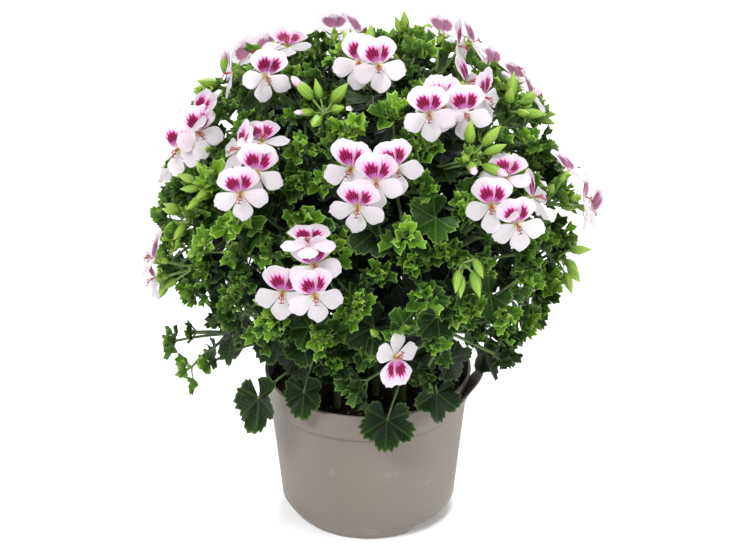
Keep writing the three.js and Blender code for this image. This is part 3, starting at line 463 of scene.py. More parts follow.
peat = finish_of("peat_mix", paint_soil, Specular_IOR_Level=0.25)
perlite = finish_of("pale_perlite", paint_perlite)
crumbs = Growing("soil_crumbs", Crumb_Size=0.0011, Crumb_Density=150000.0, Speck_Size=0.0008,
                 Speck_Density=11000.0, Seed=7, Peat=peat, Perlite=perlite)
entry = crumbs.entry
height = crumbs.node("ShaderNodeSeparateXYZ", {"Vector": crumbs.node("GeometryNodeInputPosition")}, "Z")
on_top = crumbs.node("FunctionNodeCompare", {0: height, 1: (SOIL_TOP - 6) * MM}, operation="GREATER_THAN")
parts = [crumbs.finished(entry["Geometry"], entry["Peat"])]
for size, density, finish, seed in (("Crumb_Size", "Crumb_Density", "Peat", 0),
                                    ("Speck_Size", "Speck_Density", "Perlite", 50)):
    points = crumbs.node("GeometryNodeDistributePointsOnFaces",
                         {"Mesh": entry["Geometry"], "Selection": on_top, "Density": entry[density],
                          "Seed": entry["Seed"] + seed})
    stone = crumbs.node("GeometryNodeMeshIcoSphere", {"Radius": entry[size], "Subdivisions": 1})
    spread, turn = (crumbs.node("FunctionNodeRandomValue", {0: low, 1: high, "Seed": seed + step},
                                data_type="FLOAT_VECTOR")
                    for low, high, step in (((0.3, 0.3, 0.2), (1.25, 1.0, 0.75), 11),
                                            ((0, 0, 0), (6.3, 6.3, 6.3), 12)))
    laid = crumbs.node("GeometryNodeInstanceOnPoints",
                       {"Points": points, "Instance": stone, "Rotation": turn, "Scale": spread})
    parts.append(crumbs.finished(laid, entry[finish]))
crumbs.end(crumbs.join(parts))
crumbs.grow(soil)
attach(soil, "root")
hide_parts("soil")

# The plant's growth: twenty stems stand in the soil and fan out to a dome. The flowers, leaves and
# shoots grow from them by the same rule as the plain solids, and the solids say which way each went.

UP = np.array([0, 0, 1.0])
CROWN = np.array([0, 0, 200.0])
GOLDEN = 137.5
# Each ring of stems: their azimuths, elevation, reach from the crown's centre, distance of their
# feet from the pot's axis, and how far they rise before they lean out
STEM_RINGS = [
    ((35, 155, -85), 72, 104, 9, 0.75),
    ((15, 87, 159, -129, -57), 44, 108, 19, 0.7),
    ((-22, 38, 98, 158, -142, -82), 16, 112, 28, 0.62),
    ((-30, 34, 88, 145, -150), -14, 114, 38, 0.55),
    ((-84,), -33, 130, 40, 0.45),
]
# Each flower: azimuth, elevation and distance of its centre from the crown's, the azimuth and
# elevation that it faces, and its roll. Before them stands the number of buds of the head.
HEADS = {
    "top_back": (2, [
        (-150, 69, 119, 175, 40, 0),
        (-170, 80, 116, 120, 35, 0),
    ]),
    "top_front": (0, [
        (-8, 71, 124, -12, 22, 0),
        (9, 67, 129, 4, 20, 8),
    ]),
    "top_right": (0, [
        (121, 66, 124, 150, 35, 0),
        (80, 65, 127, 80, 14, -10),
        (104, 59, 128, 108, 25, 0),
    ]),
    "upper_left": (2, [
        (-80, 50, 131, -82, 8, 0),
        (-90, 60, 124, -110, 62, 0),
        (-53, 57, 129, 22, 4, -12),
        (-84, 70, 125, 0, 80, 0),
    ]),
    "left": (1, [
        (-69, 28, 134, -22, 16, 0),
        (-66, 36, 129, 28, 22, 0),
        (-72, 40, 133, -60, 50, 0),
    ]),
    "left_front": (2, [
        (-32, 33, 133, 8, 18, -8),
        (-34, 26, 139, 2, 4, 6),
        (-43, 38, 133, -70, 32, 0),
        (-36, 43, 130, 10, 78, 0),
    ]),
    "front": (0, [
        (-6, 38, 133, -12, 14, 0),
        (3, 34, 136, 2, 12, 0),
        (10, 38, 134, 16, 12, 10),
        (-3, 27, 138, -8, -4, -6),
    ]),
    "upper_right": (1, [
        (21, 50, 130, 2, 10, 6),
        (31, 53, 127, 4, 28, 0),
        (39, 48, 130, 8, 12, 0),
        (56, 57, 129, 78, 34, 0),
        (56, 50, 130, 62, 12, 0),
    ]),
    "right_front": (1, [
        (33, 25, 132, 0, 18, 0),
        (39, 18, 139, 6, 8, 10),
        (50, 23, 136, 76, 28, 0),
        (43, 32, 131, -10, 72, 0),
    ]),
    "low_front": (1, [
        (-21, 6, 137, -6, 6, -4),
        (-11, 7, 140, 10, 8, 10),
        (-12, 15, 134, 6, 24, 10),
        (-14, 21, 136, 0, 82, 0),
    ]),
    "hanging": (2, [
        (7, -10, 131, 42, 10, 165),
    ]),
    "low_left": (1, [
        (-62, 4, 139, -98, 18, 0),
        (-66, -5, 137, -86, -8, 10),
    ]),
    "right_back": (1, [
        (88, 40, 128, 102, 28, 0),
        (98, 45, 127, 140, 40, 0),
    ]),
    "right": (2, [
        (72, 24, 133, 122, 40, 0),
        (76, 13, 135, 92, 4, 0),
        (82, 6, 137, 96, -18, 10),
    ]),
    "back_high": (0, [
        (168, 36, 127, 170, 30, 0),
        (179, 32, 131, 178, 18, 0),
    ]),
    "back_right": (1, [
        (132, 35, 131, 130, 20, 0),
        (140, 30, 134, 142, 10, 0),
    ]),
    "back_left": (1, [
        (-142, 38, 131, -140, 20, 0),
        (-134, 34, 134, -130, 10, 0),
    ]),
    "back_low_right": (0, [
        (116, 5, 136, 110, 10, 0),
        (124, -1, 135, 132, -4, 0),
    ]),
    "back_low": (1, [
        (176, 11, 135, 178, 12, 0),
        (-177, 7, 138, -174, 4, 0),
    ]),
    "back_low_left": (0, [
        (-112, 6, 137, -108, 14, 0),
        (-121, 10, 134, -130, 18, 0),
    ]),
}
# Each leaf with a set place: azimuth, distance from the axis, height, radius, facing elevation, roll
SET_LEAVES = [
    (-49, 88, 100, 22, 22, 25),
    (-33, 72, 108, 17, 30, 10),
    (9, 73, 94, 20, 28, -8),
    (36, 71, 105, 19, 25, -20),
    (62, 84, 124, 19, 35, -10),
    (-12, 66, 128, 18, 45, 10),
    (20, 78, 138, 17, 35, 0),
    (-66, 92, 134, 19, 20, 0),
    (-84, 82, 108, 19, 22, 0),
    (92, 88, 108, 20, 25, 0),
    (78, 98, 146, 18, 25, 10),
    (112, 94, 136, 18, 22, 0),
    (126, 80, 100, 20, 22, 10),
    (157, 78, 106, 19, 25, 0),
    (148, 92, 140, 18, 25, -10),
    (-172, 82, 98, 20, 20, -10),
    (-160, 92, 138, 18, 25, 10),
    (-140, 80, 104, 19, 26, 0),
    (-122, 94, 134, 18, 25, 0),
    (-106, 84, 100, 19, 22, 10),
    (-40, 90, 152, 18, 25, 10),
    (2, 94, 168, 17, 25, -10),
    (40, 92, 158, 18, 25, 0),
    (58, 98, 182, 16, 25, 10),
    (-24, 92, 182, 16, 30, 0),
    (22, 102, 190, 16, 25, 10),
    (-82, 100, 164, 17, 22, -10),
    (100, 100, 168, 17, 25, 0),
]


def unit(vector):
    return vector / np.linalg.norm(vector)


def chance(seed, item):
    """A number from 0 to 1 that depends only on its two seeds."""
    low = lambda value: value & 0xFFFFFFFF
    s = low((seed + 1) * 0x9E3779B1) ^ low((item + 1) * 0x85EBCA6B)
    s = low((s ^ (s >> 15)) * 0x2C1B3C6D)
    s = low((s ^ (s >> 12)) * 0x297A2D39)
    return (s ^ (s >> 15)) / 4294967296


def across(way):
    """Two unit vectors across a way: the first is level, and the second points as far up as it can."""
    level = unit(np.cross(way, (0, 1, 0) if abs(way[2]) > 0.99 else UP))
    return level, unit(np.cross(level, way))


def blend_of(*pairs):
    return unit(sum(vector * share for vector, share in pairs))


def swung(first, second, degrees):
    """The unit vector that has turned by an angle from one way towards another that is square to it."""
    a = math.radians(degrees)
    return first * math.cos(a) + second * math.sin(a)


def turned_about(vector, axis, degrees):
    a = math.radians(degrees)
    return (vector * math.cos(a) + np.cross(axis, vector) * math.sin(a)
            + axis * np.dot(axis, vector) * (1 - math.cos(a)))


class Bend:
    """A curve from a point to another that leaves the first one along a direction."""

    def __init__(self, start, leaving, end, share=0.5):
        self.start, self.end = start, end
        self.pull = start + leaving * np.linalg.norm(end - start) * share

    def point(self, t):
        return (1 - t) ** 2 * self.start + 2 * (1 - t) * t * self.pull + t * t * self.end

    def way(self, t):
        return unit((1 - t) * (self.pull - self.start) + t * (self.end - self.pull))

    def path(self, steps):
        return [self.point(k / steps) for k in range(steps + 1)]


class Setting:
    """Where a blade is, and the ways that its tip, its left side and its upper face point."""

    def __init__(self, at, tip, face):
        self.at, self.face = at, face
        self.tip = unit(tip - face * np.dot(tip, face))
        self.side = np.cross(face, self.tip)

    def point(self, t, s, f):
        return self.at + self.tip * t + self.side * s + self.face * f

    def outline(self, shares, radius):
        return [self.point(r * radius * math.cos(math.radians(a)), r * radius * math.sin(math.radians(a)),
                           h * radius) for a, r, h in shares]


def ring_at(centre, u, v, radius, sides):
    return [centre + radius * swung(u, v, 360 * (k + 0.5) / sides) for k in range(sides)]


def rings_along(path, first, last, sides):
    """The corners of a stalk's sections along its path, as the plain solids have them."""
    reference = across(unit(path[-1] - path[0]))[1]
    rings = []
    for k, point in enumerate(path):
        ahead = unit(path[min(k + 1, len(path) - 1)] - path[max(k - 1, 0)])
        u = unit(np.cross(ahead, reference))
        radius = first + (last - first) * k / (len(path) - 1)
        rings.append(ring_at(point, u, np.cross(u, ahead), radius, sides))
    return rings


# How deep a stem stands in the soil, and how far up its foot is straight
STEM_DEPTH, STEM_FOOT = 14, 17


class Stem:
    """A stem's course, and the corners of its solid, which tell where its leaves and shoots grew."""

    def __init__(self, index, azimuth, elevation, reach, base, rise):
        self.name, self.index = f"leafy_stem_{index + 1:02d}", index
        self.azimuth, self.elevation, self.reach = azimuth, elevation, reach
        self.aim = direction(azimuth, elevation)
        self.base = direction(azimuth, 0) * base + UP * (SOIL_TOP - STEM_DEPTH)
        self.tip = CROWN + self.aim * reach
        self.curve = Bend(self.base + UP * STEM_FOOT, UP, self.tip, rise)
        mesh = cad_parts[self.name].data
        self.corners = KDTree(len(mesh.vertices))
        for k, vertex in enumerate(mesh.vertices):
            self.corners.insert(vertex.co / MM, k)
        self.corners.balance()

    def has(self, points):
        """True if most of the points are corners of this stem's solid."""
        met = sum(self.corners.find(point)[2] < 0.05 for point in points)
        return met >= 0.6 * len(points)

    def has_sheet(self, corners, face, half):
        """True if it has the corners of a sheet, which lie half its thickness above and below these."""
        return self.has([corner + face * side for corner in corners for side in (half, -half)])


stems = []
for azimuths, elevation, reach, base, rise in STEM_RINGS:
    for azimuth in azimuths:
        stems.append(Stem(len(stems), azimuth, elevation, reach, base, rise))


def stems_towards(way, count):
    """The stems that point most nearly along a way."""
    return sorted(stems, key=lambda stem: -np.dot(stem.aim, way))[:count]


GATHER, CALYX_LENGTH, PEDICEL = 0.2, 8, 21


class Head:
    """Where the flowers and buds of a head are, and the stem, the stalk and the hub that carry them."""

    def __init__(self, name, index, buds, flowers):
        self.name, self.index = name, index
        self.flowers = []
        for azimuth, elevation, distance, face_azimuth, face_elevation, roll in flowers:
            face = direction(face_azimuth, face_elevation)
            at = CROWN + direction(azimuth, elevation) * distance
            self.flowers.append(Setting(at, turned_about(across(face)[1], face, roll), face))
        middle = sum(flower.at for flower in self.flowers) / len(self.flowers)
        for flower in self.flowers:
            flower.at = flower.at + (middle - flower.at) * GATHER
        necks = sum(flower.at - flower.face * CALYX_LENGTH for flower in self.flowers) / len(self.flowers)
        self.hub = necks + unit(CROWN - necks) * (PEDICEL - CALYX_LENGTH) - UP * 3
        self.face = unit(necks - self.hub)
        u, v = across(self.face)
        self.buds = []
        for k in range(buds):
            around = swung(u, v, 360 * chance(index, 40) + 360 / buds * k)
            self.buds.append(blend_of((self.face, 0.8), (around, 1)))
        self.stem, self.curve = self.carrier()

    def carrier(self):
        end = self.hub - self.face * 2
        for stem in stems_towards(self.face, 5):
            for share in (0.66, 0.86, 0.58, 0.42):
                start = stem.curve.point(share)
                away = blend_of((stem.curve.way(share), 0.5), (unit(self.hub - start), 0.5))
                curve = Bend(start, away, end, 0.4)
                if stem.has(rings_along(curve.path(2), first=1.2, last=1.56, sides=4)[1]):
                    return stem, curve
        raise ValueError(f"no solid carries the head {self.name}")

    def leaving(self, goal):
        """Where a stalk leaves the hub on its way to a goal."""
        way = goal - self.hub
        sideways = way - self.face * np.dot(way, self.face)
        distance = min(2.7, np.linalg.norm(sideways) * 0.3)
        return self.hub + unit(sideways) * distance - self.face * 0.7


heads = [Head(name, k, buds, flowers) for k, (name, (buds, flowers)) in enumerate(HEADS.items())]

# The outline of a leaf in the solids: the angle, radius and height of each corner
LEAF_SHARES = [(a * way, r, h) for way in (1, -1)
               for a, r, h in ((132, 0.8, 0.1), (90, 0.98, 0.14), (58, 0.74, -0.04), (24, 1.02, 0.1))]


def rosette_shares(count):
    """The outline of leaves round a shoot's tip, with a notch between them."""
    step = 360 / count
    return [(step * (k + a), r, h) for k in range(count)
            for a, r, h in ((0, 0.34, 0.2), (0.322, 0.98, 0.62 if k % 2 else 0.4),
                            (0.678, 0.98, 0.62 if k % 2 else 0.4))]


def set_leaf(azimuth, distance, height, radius, face_elevation, roll):
    """A leaf with a set place: its setting, radius, stem and stalk, or None if no solid has it."""
    face = direction(azimuth, face_elevation)
    tip = turned_about(-across(face)[1], face, roll)
    at = direction(azimuth, 0) * distance + UP * height - tip * radius * 0.35
    blade = Setting(at, tip, face)
    leaving = blend_of((UP, 0.9), (direction(azimuth, 0), 0.6))
    for stem in stems_towards(direction(azimuth, -20), 3):
        for share in (0.3, 0.45, 0.2, 0.6):
            curve = Bend(stem.curve.point(share), leaving, at - blade.tip * 0.8, 0.45)
            path = curve.path(3)
            ahead = unit(path[2] - path[0])
            s = unit(blade.side - ahead * np.dot(blade.side, ahead))
            n = np.cross(ahead, s)
            if stem.has([path[1] + s * a + n * b for a, b in ((0, 1), (1, -0.8), (-1, -0.8))]):
                return blade, radius, stem, curve
    return None


def grown_leaf(stem, curve, seed, share, radius):
    """A leaf that grows from a share of a curve, as set_leaf gives it."""
    at, ahead = curve.point(share), curve.way(share)
    u, v = across(ahead)
    outward = unit(at - CROWN)
    length = 17 * (0.85 + 0.4 * chance(seed, 2))
    for turn in (0, 24, -24, 48, -48, 75, -75, 110):
        aim = blend_of((swung(u, v, GOLDEN * seed + turn), 1), (ahead, 0.5), (outward, 0.35))
        face = blend_of((outward, 0.62), (UP, 0.55), (aim, 0.2))
        blade = Setting(at + aim * length, aim, face)
        if stem.has_sheet(blade.outline(LEAF_SHARES, radius), face, 0.45):
            return blade, radius, stem, Bend(at, aim, blade.at - blade.tip * 0.8, 0.5)
    return None


def rosette_at(stem, path, last, seed, count=4, full=14.5, sizes=(1, 0.85, 0.7)):
    """The rosette that ends a shoot and its radius, or None where the solid has none."""
    rings = rings_along(path, first=1, last=last, sides=count)
    face = unit(path[-1] - path[-2])
    blade = Setting(path[-1] + face * 1.6, unit(rings[-1][0] - path[-1]), face)
    for share in sizes:
        radius = full * share * (0.88 + 0.24 * chance(seed, 7))
        for way in (1, -1):
            corners = blade.outline([(a * way, r, h) for a, r, h in rosette_shares(count)], radius)
            if stem.has_sheet(corners, face, 0.5):
                return blade, radius
    return None


def spread_way(k, count, lowest, rise, azimuth):
    """One of many directions that are spread evenly, with the sines of their elevations between limits."""
    sine = lowest + rise * (k + 0.5) / count
    return direction(azimuth, math.degrees(math.asin(sine)))


SOLID_TUFTS, SOLID_TUFT_LEAF = 80, 16.5


def tuft_of(k):
    """A tuft of three leaves: its stem, where its shoot leaves the stem, its setting and its radius."""
    way = spread_way(k, SOLID_TUFTS, -0.6, 1.57, GOLDEN * k)
    for inward in (0, 12):
        place = CROWN + way * (104 + 13 * chance(k, 51) - inward)
        for stem in stems_towards(way, 2):
            for share in (0.78, 0.6):
                start = stem.curve.point(share)
                found = rosette_at(stem, [start, place], last=1.1, seed=k, count=3,
                                   full=SOLID_TUFT_LEAF, sizes=(1,))
                if found:
                    return stem, start, *found
    return None


def shoot_of(stem):
    """The course of a stem's side shoot, or None if its solid has none."""
    start, leaving = stem.curve.point(0.62), stem.curve.way(0.62)
    sign = 1 if stem.index % 2 else -1
    for turn, lift in ((1, 1), (1, -1), (-1, 1), (-1, -1), (1.5, 0), (-1.5, 0), (0.6, 1.6), (-0.6, -1.6),
                       (2, 1), (-2, 1)):
        azimuth = stem.azimuth + sign * turn * 21 / max(0.35, math.cos(math.radians(stem.elevation)))
        tip = CROWN + direction(azimuth, stem.elevation + lift * 9) * (stem.reach - 3)
        curve = Bend(start, blend_of((leaving, 0.5), (unit(tip - start), 0.6)), tip, 0.45)
        if stem.has(rings_along(curve.path(2), first=1.4, last=1.3, sides=4)[1]):
            return curve
    return None


LEAF_RADIUS, BARE_TIP_RADIUS = 15, 9.0
leaves = [set_leaf(*row) for row in SET_LEAVES]
rosettes, shoots = [], []
for stem in stems:
    shoot = shoot_of(stem) if stem.elevation > 0 else None
    path = [stem.base, *stem.curve.path(4)]
    ends = [(stem.curve, rosette_at(stem, path, last=1.5, seed=2 * stem.index))]
    if shoot:
        shoots.append((stem, shoot))
        ends.append((shoot, rosette_at(stem, shoot.path(2), last=1.3, seed=2 * stem.index + 1)))
    for curve, found in ends:
        bare = Setting(curve.end, across(stem.aim)[1], curve.way(1)), BARE_TIP_RADIUS
        rosettes.append((stem, *(found or bare)))
    for k, share in enumerate((0.84, 0.56)):
        seed = 10 * stem.index + k
        radius = LEAF_RADIUS * (0.9 + 0.25 * chance(seed, 1) + 0.15 * k)
        leaves.append(grown_leaf(stem, stem.curve, seed, share, radius))
    if shoot:
        seed = 10 * stem.index + 7
        radius = LEAF_RADIUS * (0.75 + 0.3 * chance(seed, 1))
        leaves.append(grown_leaf(stem, shoot, seed, 0.72, radius))
leaves = [leaf for leaf in leaves if leaf]
tufts = [tuft for tuft in map(tuft_of, range(SOLID_TUFTS)) if tuft]

# The greenery: stems, shoots and stalks are soft, round and slightly hairy. Leaves are lobed,
# coarsely toothed and pleated, old ones large and dark, young ones small, bright and in tufts.
# Inside the bush and low down, leaves and stalks are darker still: painted shade.
# All that grows on a stem is one piece with it, and the stem's foot stands down in the soil.


def give(mesh, name, kind, domain, values):
    """An attribute of a mesh, from a value for each of its points, edges or faces."""
    field = "vector" if kind == "FLOAT_VECTOR" else "value"
    if kind != "BOOLEAN":
        values = np.array(values, np.int32 if kind == "INT" else np.float32).ravel()
    mesh.attributes.new(name, kind, domain).data.foreach_set(field, values)


class Shell:
    """Closed two-sided blades that are gathered into one mesh, with their UVs and attributes."""

    def __init__(self):
        self.points, self.edge, self.uv = [], [], []
        self.faces, self.under, self.kind = [], [], []

    def add(self, grid, thickness, uv, edge, kind=0.0):
        """A sheet over a grid of points, whose upper and lower faces meet along its outline."""
        rows, columns = grid.shape[:2]
        top = np.zeros((rows, columns), int)
        low = np.zeros((rows, columns), int)
        for i in range(rows):
            single = np.ptp(grid[i], axis=0).max() < 1e-9
            for j in range(columns):
                if single and j:
                    top[i, j], low[i, j] = top[i, 0], low[i, 0]
                    continue
                top[i, j] = low[i, j] = self.point(grid[i, j], uv[i, j], edge[i, j])
                if 0 < i < rows - 1 and 0 < j < columns - 1 and not single:
                    low[i, j] = self.point(grid[i, j] - np.array([0, 0, thickness]), uv[i, j], edge[i, j])
        for i in range(rows - 1):
            for j in range(columns - 1):
                for side, ids in ((0.0, top), (1.0, low)):
                    loop = [ids[i, j], ids[i + 1, j], ids[i + 1, j + 1], ids[i, j + 1]]
                    loop = list(dict.fromkeys(loop if side == 0 else reversed(loop)))
                    if len(loop) > 2:
                        self.faces.append(loop)
                        self.under.append(side)
                        self.kind.append(kind)

    def point(self, place, uv, edge):
        self.points.append(place)
        self.uv.append(uv)
        self.edge.append(edge)
        return len(self.points) - 1

    def skin(self, faces, kind):
        """Faces over points that are there already."""
        self.faces += faces
        self.under += [0.0] * len(faces)
        self.kind += [kind] * len(faces)

    def thing(self, name):
        """The object. An edge is sharp where the upper and the lower side of a blade meet."""
        mesh = bpy.data.meshes.new(name)
        mesh.from_pydata([tuple(p) for p in self.points], [], [[int(k) for k in f] for f in self.faces])
        give(mesh, "edge", "FLOAT", "POINT", self.edge)
        give(mesh, "under", "FLOAT", "FACE", self.under)
        give(mesh, "part", "FLOAT", "FACE", self.kind)
        sides = {}
        for loop, side in zip(self.faces, self.under):
            for pair in zip(loop, loop[1:] + loop[:1]):
                sides.setdefault(frozenset(pair), set()).add(side)
        two_sided = [len(sides[frozenset(edge.vertices)]) > 1 for edge in mesh.edges]
        give(mesh, "sharp_edge", "BOOLEAN", "EDGE", two_sided)
        corners = np.zeros(len(mesh.loops), int)
        mesh.loops.foreach_get("vertex_index", corners)
        plane = mesh.uv_layers.new(name="plane")
        plane.data.foreach_set("uv", np.array(self.uv, np.float32)[corners].ravel())
        mesh.shade_smooth()
        return placed(name, mesh)


LEAF_IN_PLANE = 0.42


def lobed_leaf(name, lobes, teeth, rings, spread, notch, tooth, cup, fold, ruffle, width, seed):
    """A leaf one unit long, with its stalk's end at the origin and its tip along +X. Each lobe has a
    tip and some teeth at its sides, is folded along its middle, and has a notch before the next."""
    marks, reaches = [], []
    step = 2 * math.radians(spread) / lobes
    for lobe in range(lobes):
        middle = lobe - (lobes - 1) / 2
        full = 1 - 0.34 * abs(middle / (lobes / 2)) ** 1.7 - 0.06 * chance(seed, 20 + lobe)
        for k in range(4 * teeth + 2):
            share = k / (4 * teeth + 2) - 0.5
            swell = 1 - notch * abs(2 * share) ** 3.2
            dip = tooth * (0.4 + 1.2 * chance(seed, 31 * lobe + k)) if k and k % 2 == 0 else 0
            marks.append((middle + share * 0.94, share))
            reaches.append(full * swell * (1 - dip))
    marks.append((lobes / 2, -0.5))
    reaches.append(reaches[0])
    angles = np.array([mark for mark, _ in marks]) * step
    share_in_lobe = np.abs(np.array([share for _, share in marks]))
    reach = np.array(reaches)
    plain = (1 - 0.3 * np.abs(angles / math.radians(spread)) ** 1.7) * (1 - 0.5 * notch)
    levels = np.linspace(0, 1, rings + 1) ** 0.9
    grid = np.zeros((rings + 1, len(angles), 3))
    for i, level in enumerate(levels):
        r = level * (reach * level ** 1.6 + plain * (1 - level ** 1.6))
        x, y = r * np.cos(angles), r * np.sin(angles) * width
        wave = ruffle * level ** 2 * np.sin(4 * angles + 6.28 * chance(seed, 3))
        crease = fold * level * (2 * share_in_lobe - 0.5) * (0.5 + 0.5 * level)
        droop = 0.2 * level ** 2 * np.maximum(0, np.cos(angles)) ** 2 * chance(seed, 5)
        grid[i] = np.stack([x, y, cup * r * r + wave + crease - droop], 1)
    shell = Shell()
    plane = 0.5 + LEAF_IN_PLANE * grid[:, :, :2]
    shell.add(grid, thickness=0.03, uv=plane, edge=np.repeat(levels[:, None], len(angles), 1))
    return shell.thing(name)


BUD_SIDES, BUD_RIDGES = 10, 5


def spindle(shell, profile, depth, part=0.0, tip_rise=0.0):
    """A ridged, closed body of turning about +Z, from [radius, height], with a point at each end."""
    sides, start = BUD_SIDES, len(shell.points)
    for radius, z in profile:
        for k in range(sides):
            a = 2 * math.pi * k / sides
            r = radius * (1 + depth * math.cos(BUD_RIDGES * a))
            share = (z - profile[0][1]) / (profile[-1][1] - profile[0][1])
            shell.point((r * math.cos(a), r * math.sin(a), z), (k / sides, share), share)
    tip = shell.point((0, 0, profile[-1][1] + tip_rise), (0, 1), 1)
    root = shell.point((0, 0, profile[0][1]), (0, 0), 0)
    last = len(profile) - 1
    at = lambda i, k: start + i * sides + k % sides
    made = [[at(i, k), at(i, k + 1), at(i + 1, k + 1), at(i + 1, k)]
            for i in range(last) for k in range(sides)]
    made += [[at(last, k), at(last, k + 1), tip] for k in range(sides)]
    made += [[at(0, k + 1), at(0, k), root] for k in range(sides)]
    shell.skin(made, part)


SEPAL_ROWS = 4


def sepal_grid(base, tip, out, width):
    """A narrow pointed blade from a base to a tip, that bows out and is widest below its middle."""
    base, tip, out = np.array(base), np.array(tip), np.array(out)
    side = unit(np.cross(tip - base, out))
    grid = np.zeros((SEPAL_ROWS + 1, 4, 3))
    for i in range(SEPAL_ROWS + 1):
        t = i / SEPAL_ROWS
        half = width * (1 - t) ** 0.8 * (0.45 + 1.4 * t) if i < SEPAL_ROWS else 0
        middle = base + (tip - base) * t + out * 0.5 * math.sin(math.pi * t)
        for j, v in enumerate((-1, -0.35, 0.35, 1)):
            grid[i, j] = middle + side * half * v - out * 0.35 * v * v * half
    return grid


def spike(shell, place, way, length, radius):
    """A short stiff hair: a slender closed pyramid that stands along a direction."""
    u, v = across(way)
    base = [place + radius * (u * math.cos(a) + v * math.sin(a)) for a in (0, 2.1, 4.2)]
    corners = [shell.point(corner, (0, 0.6), 0.8) for corner in (*base, place + way * length)]
    shell.skin([[corners[k] for k in face] for face in ((0, 1, 3), (1, 2, 3), (2, 0, 3), (2, 1, 0))], 0.0)


HAIR_TURN = 2.39996


def bristles(shell, profile, count, seed):
    """Hairs all round a body of turning about +Z, that lean towards its tip."""
    heights = [z for _, z in profile]
    for k in range(count):
        z = heights[0] + (heights[-1] - heights[0]) * (k + 0.5) / count
        radius = np.interp(z, heights, [radius for radius, _ in profile])
        a = HAIR_TURN * k + chance(seed, k)
        out = np.array([math.cos(a), math.sin(a), 0])
        length = 0.7 + 0.5 * chance(seed, 50 + k)
        spike(shell, out * radius * 0.93 + UP * z, unit(out + UP * 0.5), length, 0.045)


CALYX_HAIRS, BUD_HAIRS, SEPALS = 36, 44, 5
calyx_profile = [(1.15, -8.4), (1.7, -7.2), (2.15, -5.2), (2.2, -3.4), (1.6, -1.5)]
calyx_shell = Shell()
bristles(calyx_shell, calyx_profile[:-1], CALYX_HAIRS, 3)
spindle(calyx_shell, calyx_profile, depth=0.07)
for k in range(SEPALS):
    a = math.radians(360 / SEPALS * k)
    way = np.array([math.cos(a), math.sin(a), 0])
    grid = sepal_grid(way * 1.9 + [0, 0, -4.6], way * 6.6 + [0, 0, -1.9], way * 0.35 + [0, 0, -0.9], 1.35)
    flat = np.linspace(0, 1, grid.shape[0])[:, None] * np.ones((1, grid.shape[1]))
    calyx_shell.add(grid, thickness=-0.3, uv=np.stack([flat, flat * 0], 2), edge=flat)
calyx = calyx_shell.thing("calyx")


def bud_thing(name, bulge, opening):
    """A bud on its stalk's end. One that is opening shows the tips of its petals."""
    shell = Shell()
    profile = [(0.85, 0), (1.5, 0.9), (2.0, 2.4), (bulge, 4.2), (1.85, 6.2), (1.1, 8.2), (0.45, 9.8)]
    spindle(shell, profile, depth=0.13, tip_rise=1.0)
    bristles(shell, profile[:-1], BUD_HAIRS, 5)
    if opening:
        petal_tips = [(0.8, 6.0), (1.5, 7.6), (1.45, 9.4), (0.8, 10.9)]
        spindle(shell, petal_tips, depth=-0.08, part=1.0, tip_rise=0.8)
    return shell.thing(name)


# Each age of leaf: how many shapes it has, and their form
LEAF_FORMS = {
    "young": (4, dict(lobes=3, teeth=1, rings=2, spread=104, notch=0.36, tooth=0.2, cup=0.44, fold=0.5,
                      ruffle=0.12, width=0.84)),
    "grown": (4, dict(lobes=5, teeth=1, rings=3, spread=146, notch=0.3, tooth=0.17, cup=0.2, fold=0.16,
                      ruffle=0.09, width=1.0)),
    "old": (3, dict(lobes=5, teeth=2, rings=4, spread=156, notch=0.27, tooth=0.08, cup=0.2, fold=0.15,
                    ruffle=0.12, width=1.0)),
}
LEAF_KINDS = [lobed_leaf(f"{age}_leaf_{k}", seed=40 + 20 * row + k, **form)
              for row, (age, (shapes, form)) in enumerate(LEAF_FORMS.items()) for k in range(shapes)]
YOUNG_SHAPES, GROWN_SHAPES, OLD_SHAPES = (shapes for shapes, _ in LEAF_FORMS.values())
hair_shell = Shell()
spike(hair_shell, np.zeros(3), UP, 0.9, 0.04)
stalk_hair = hair_shell.thing("stalk_hair")
BUD_KINDS = [calyx, bud_thing("green_bud", 2.2, False), bud_thing("pink_bud", 2.1, True)]
# The number of each kind, or of the first of its shapes, in the two lists together
YOUNG, GROWN, OLD = 0, YOUNG_SHAPES, YOUNG_SHAPES + GROWN_SHAPES
CALYX, BUD, PINK_BUD = (len(LEAF_KINDS) + k for k in range(len(BUD_KINDS)))


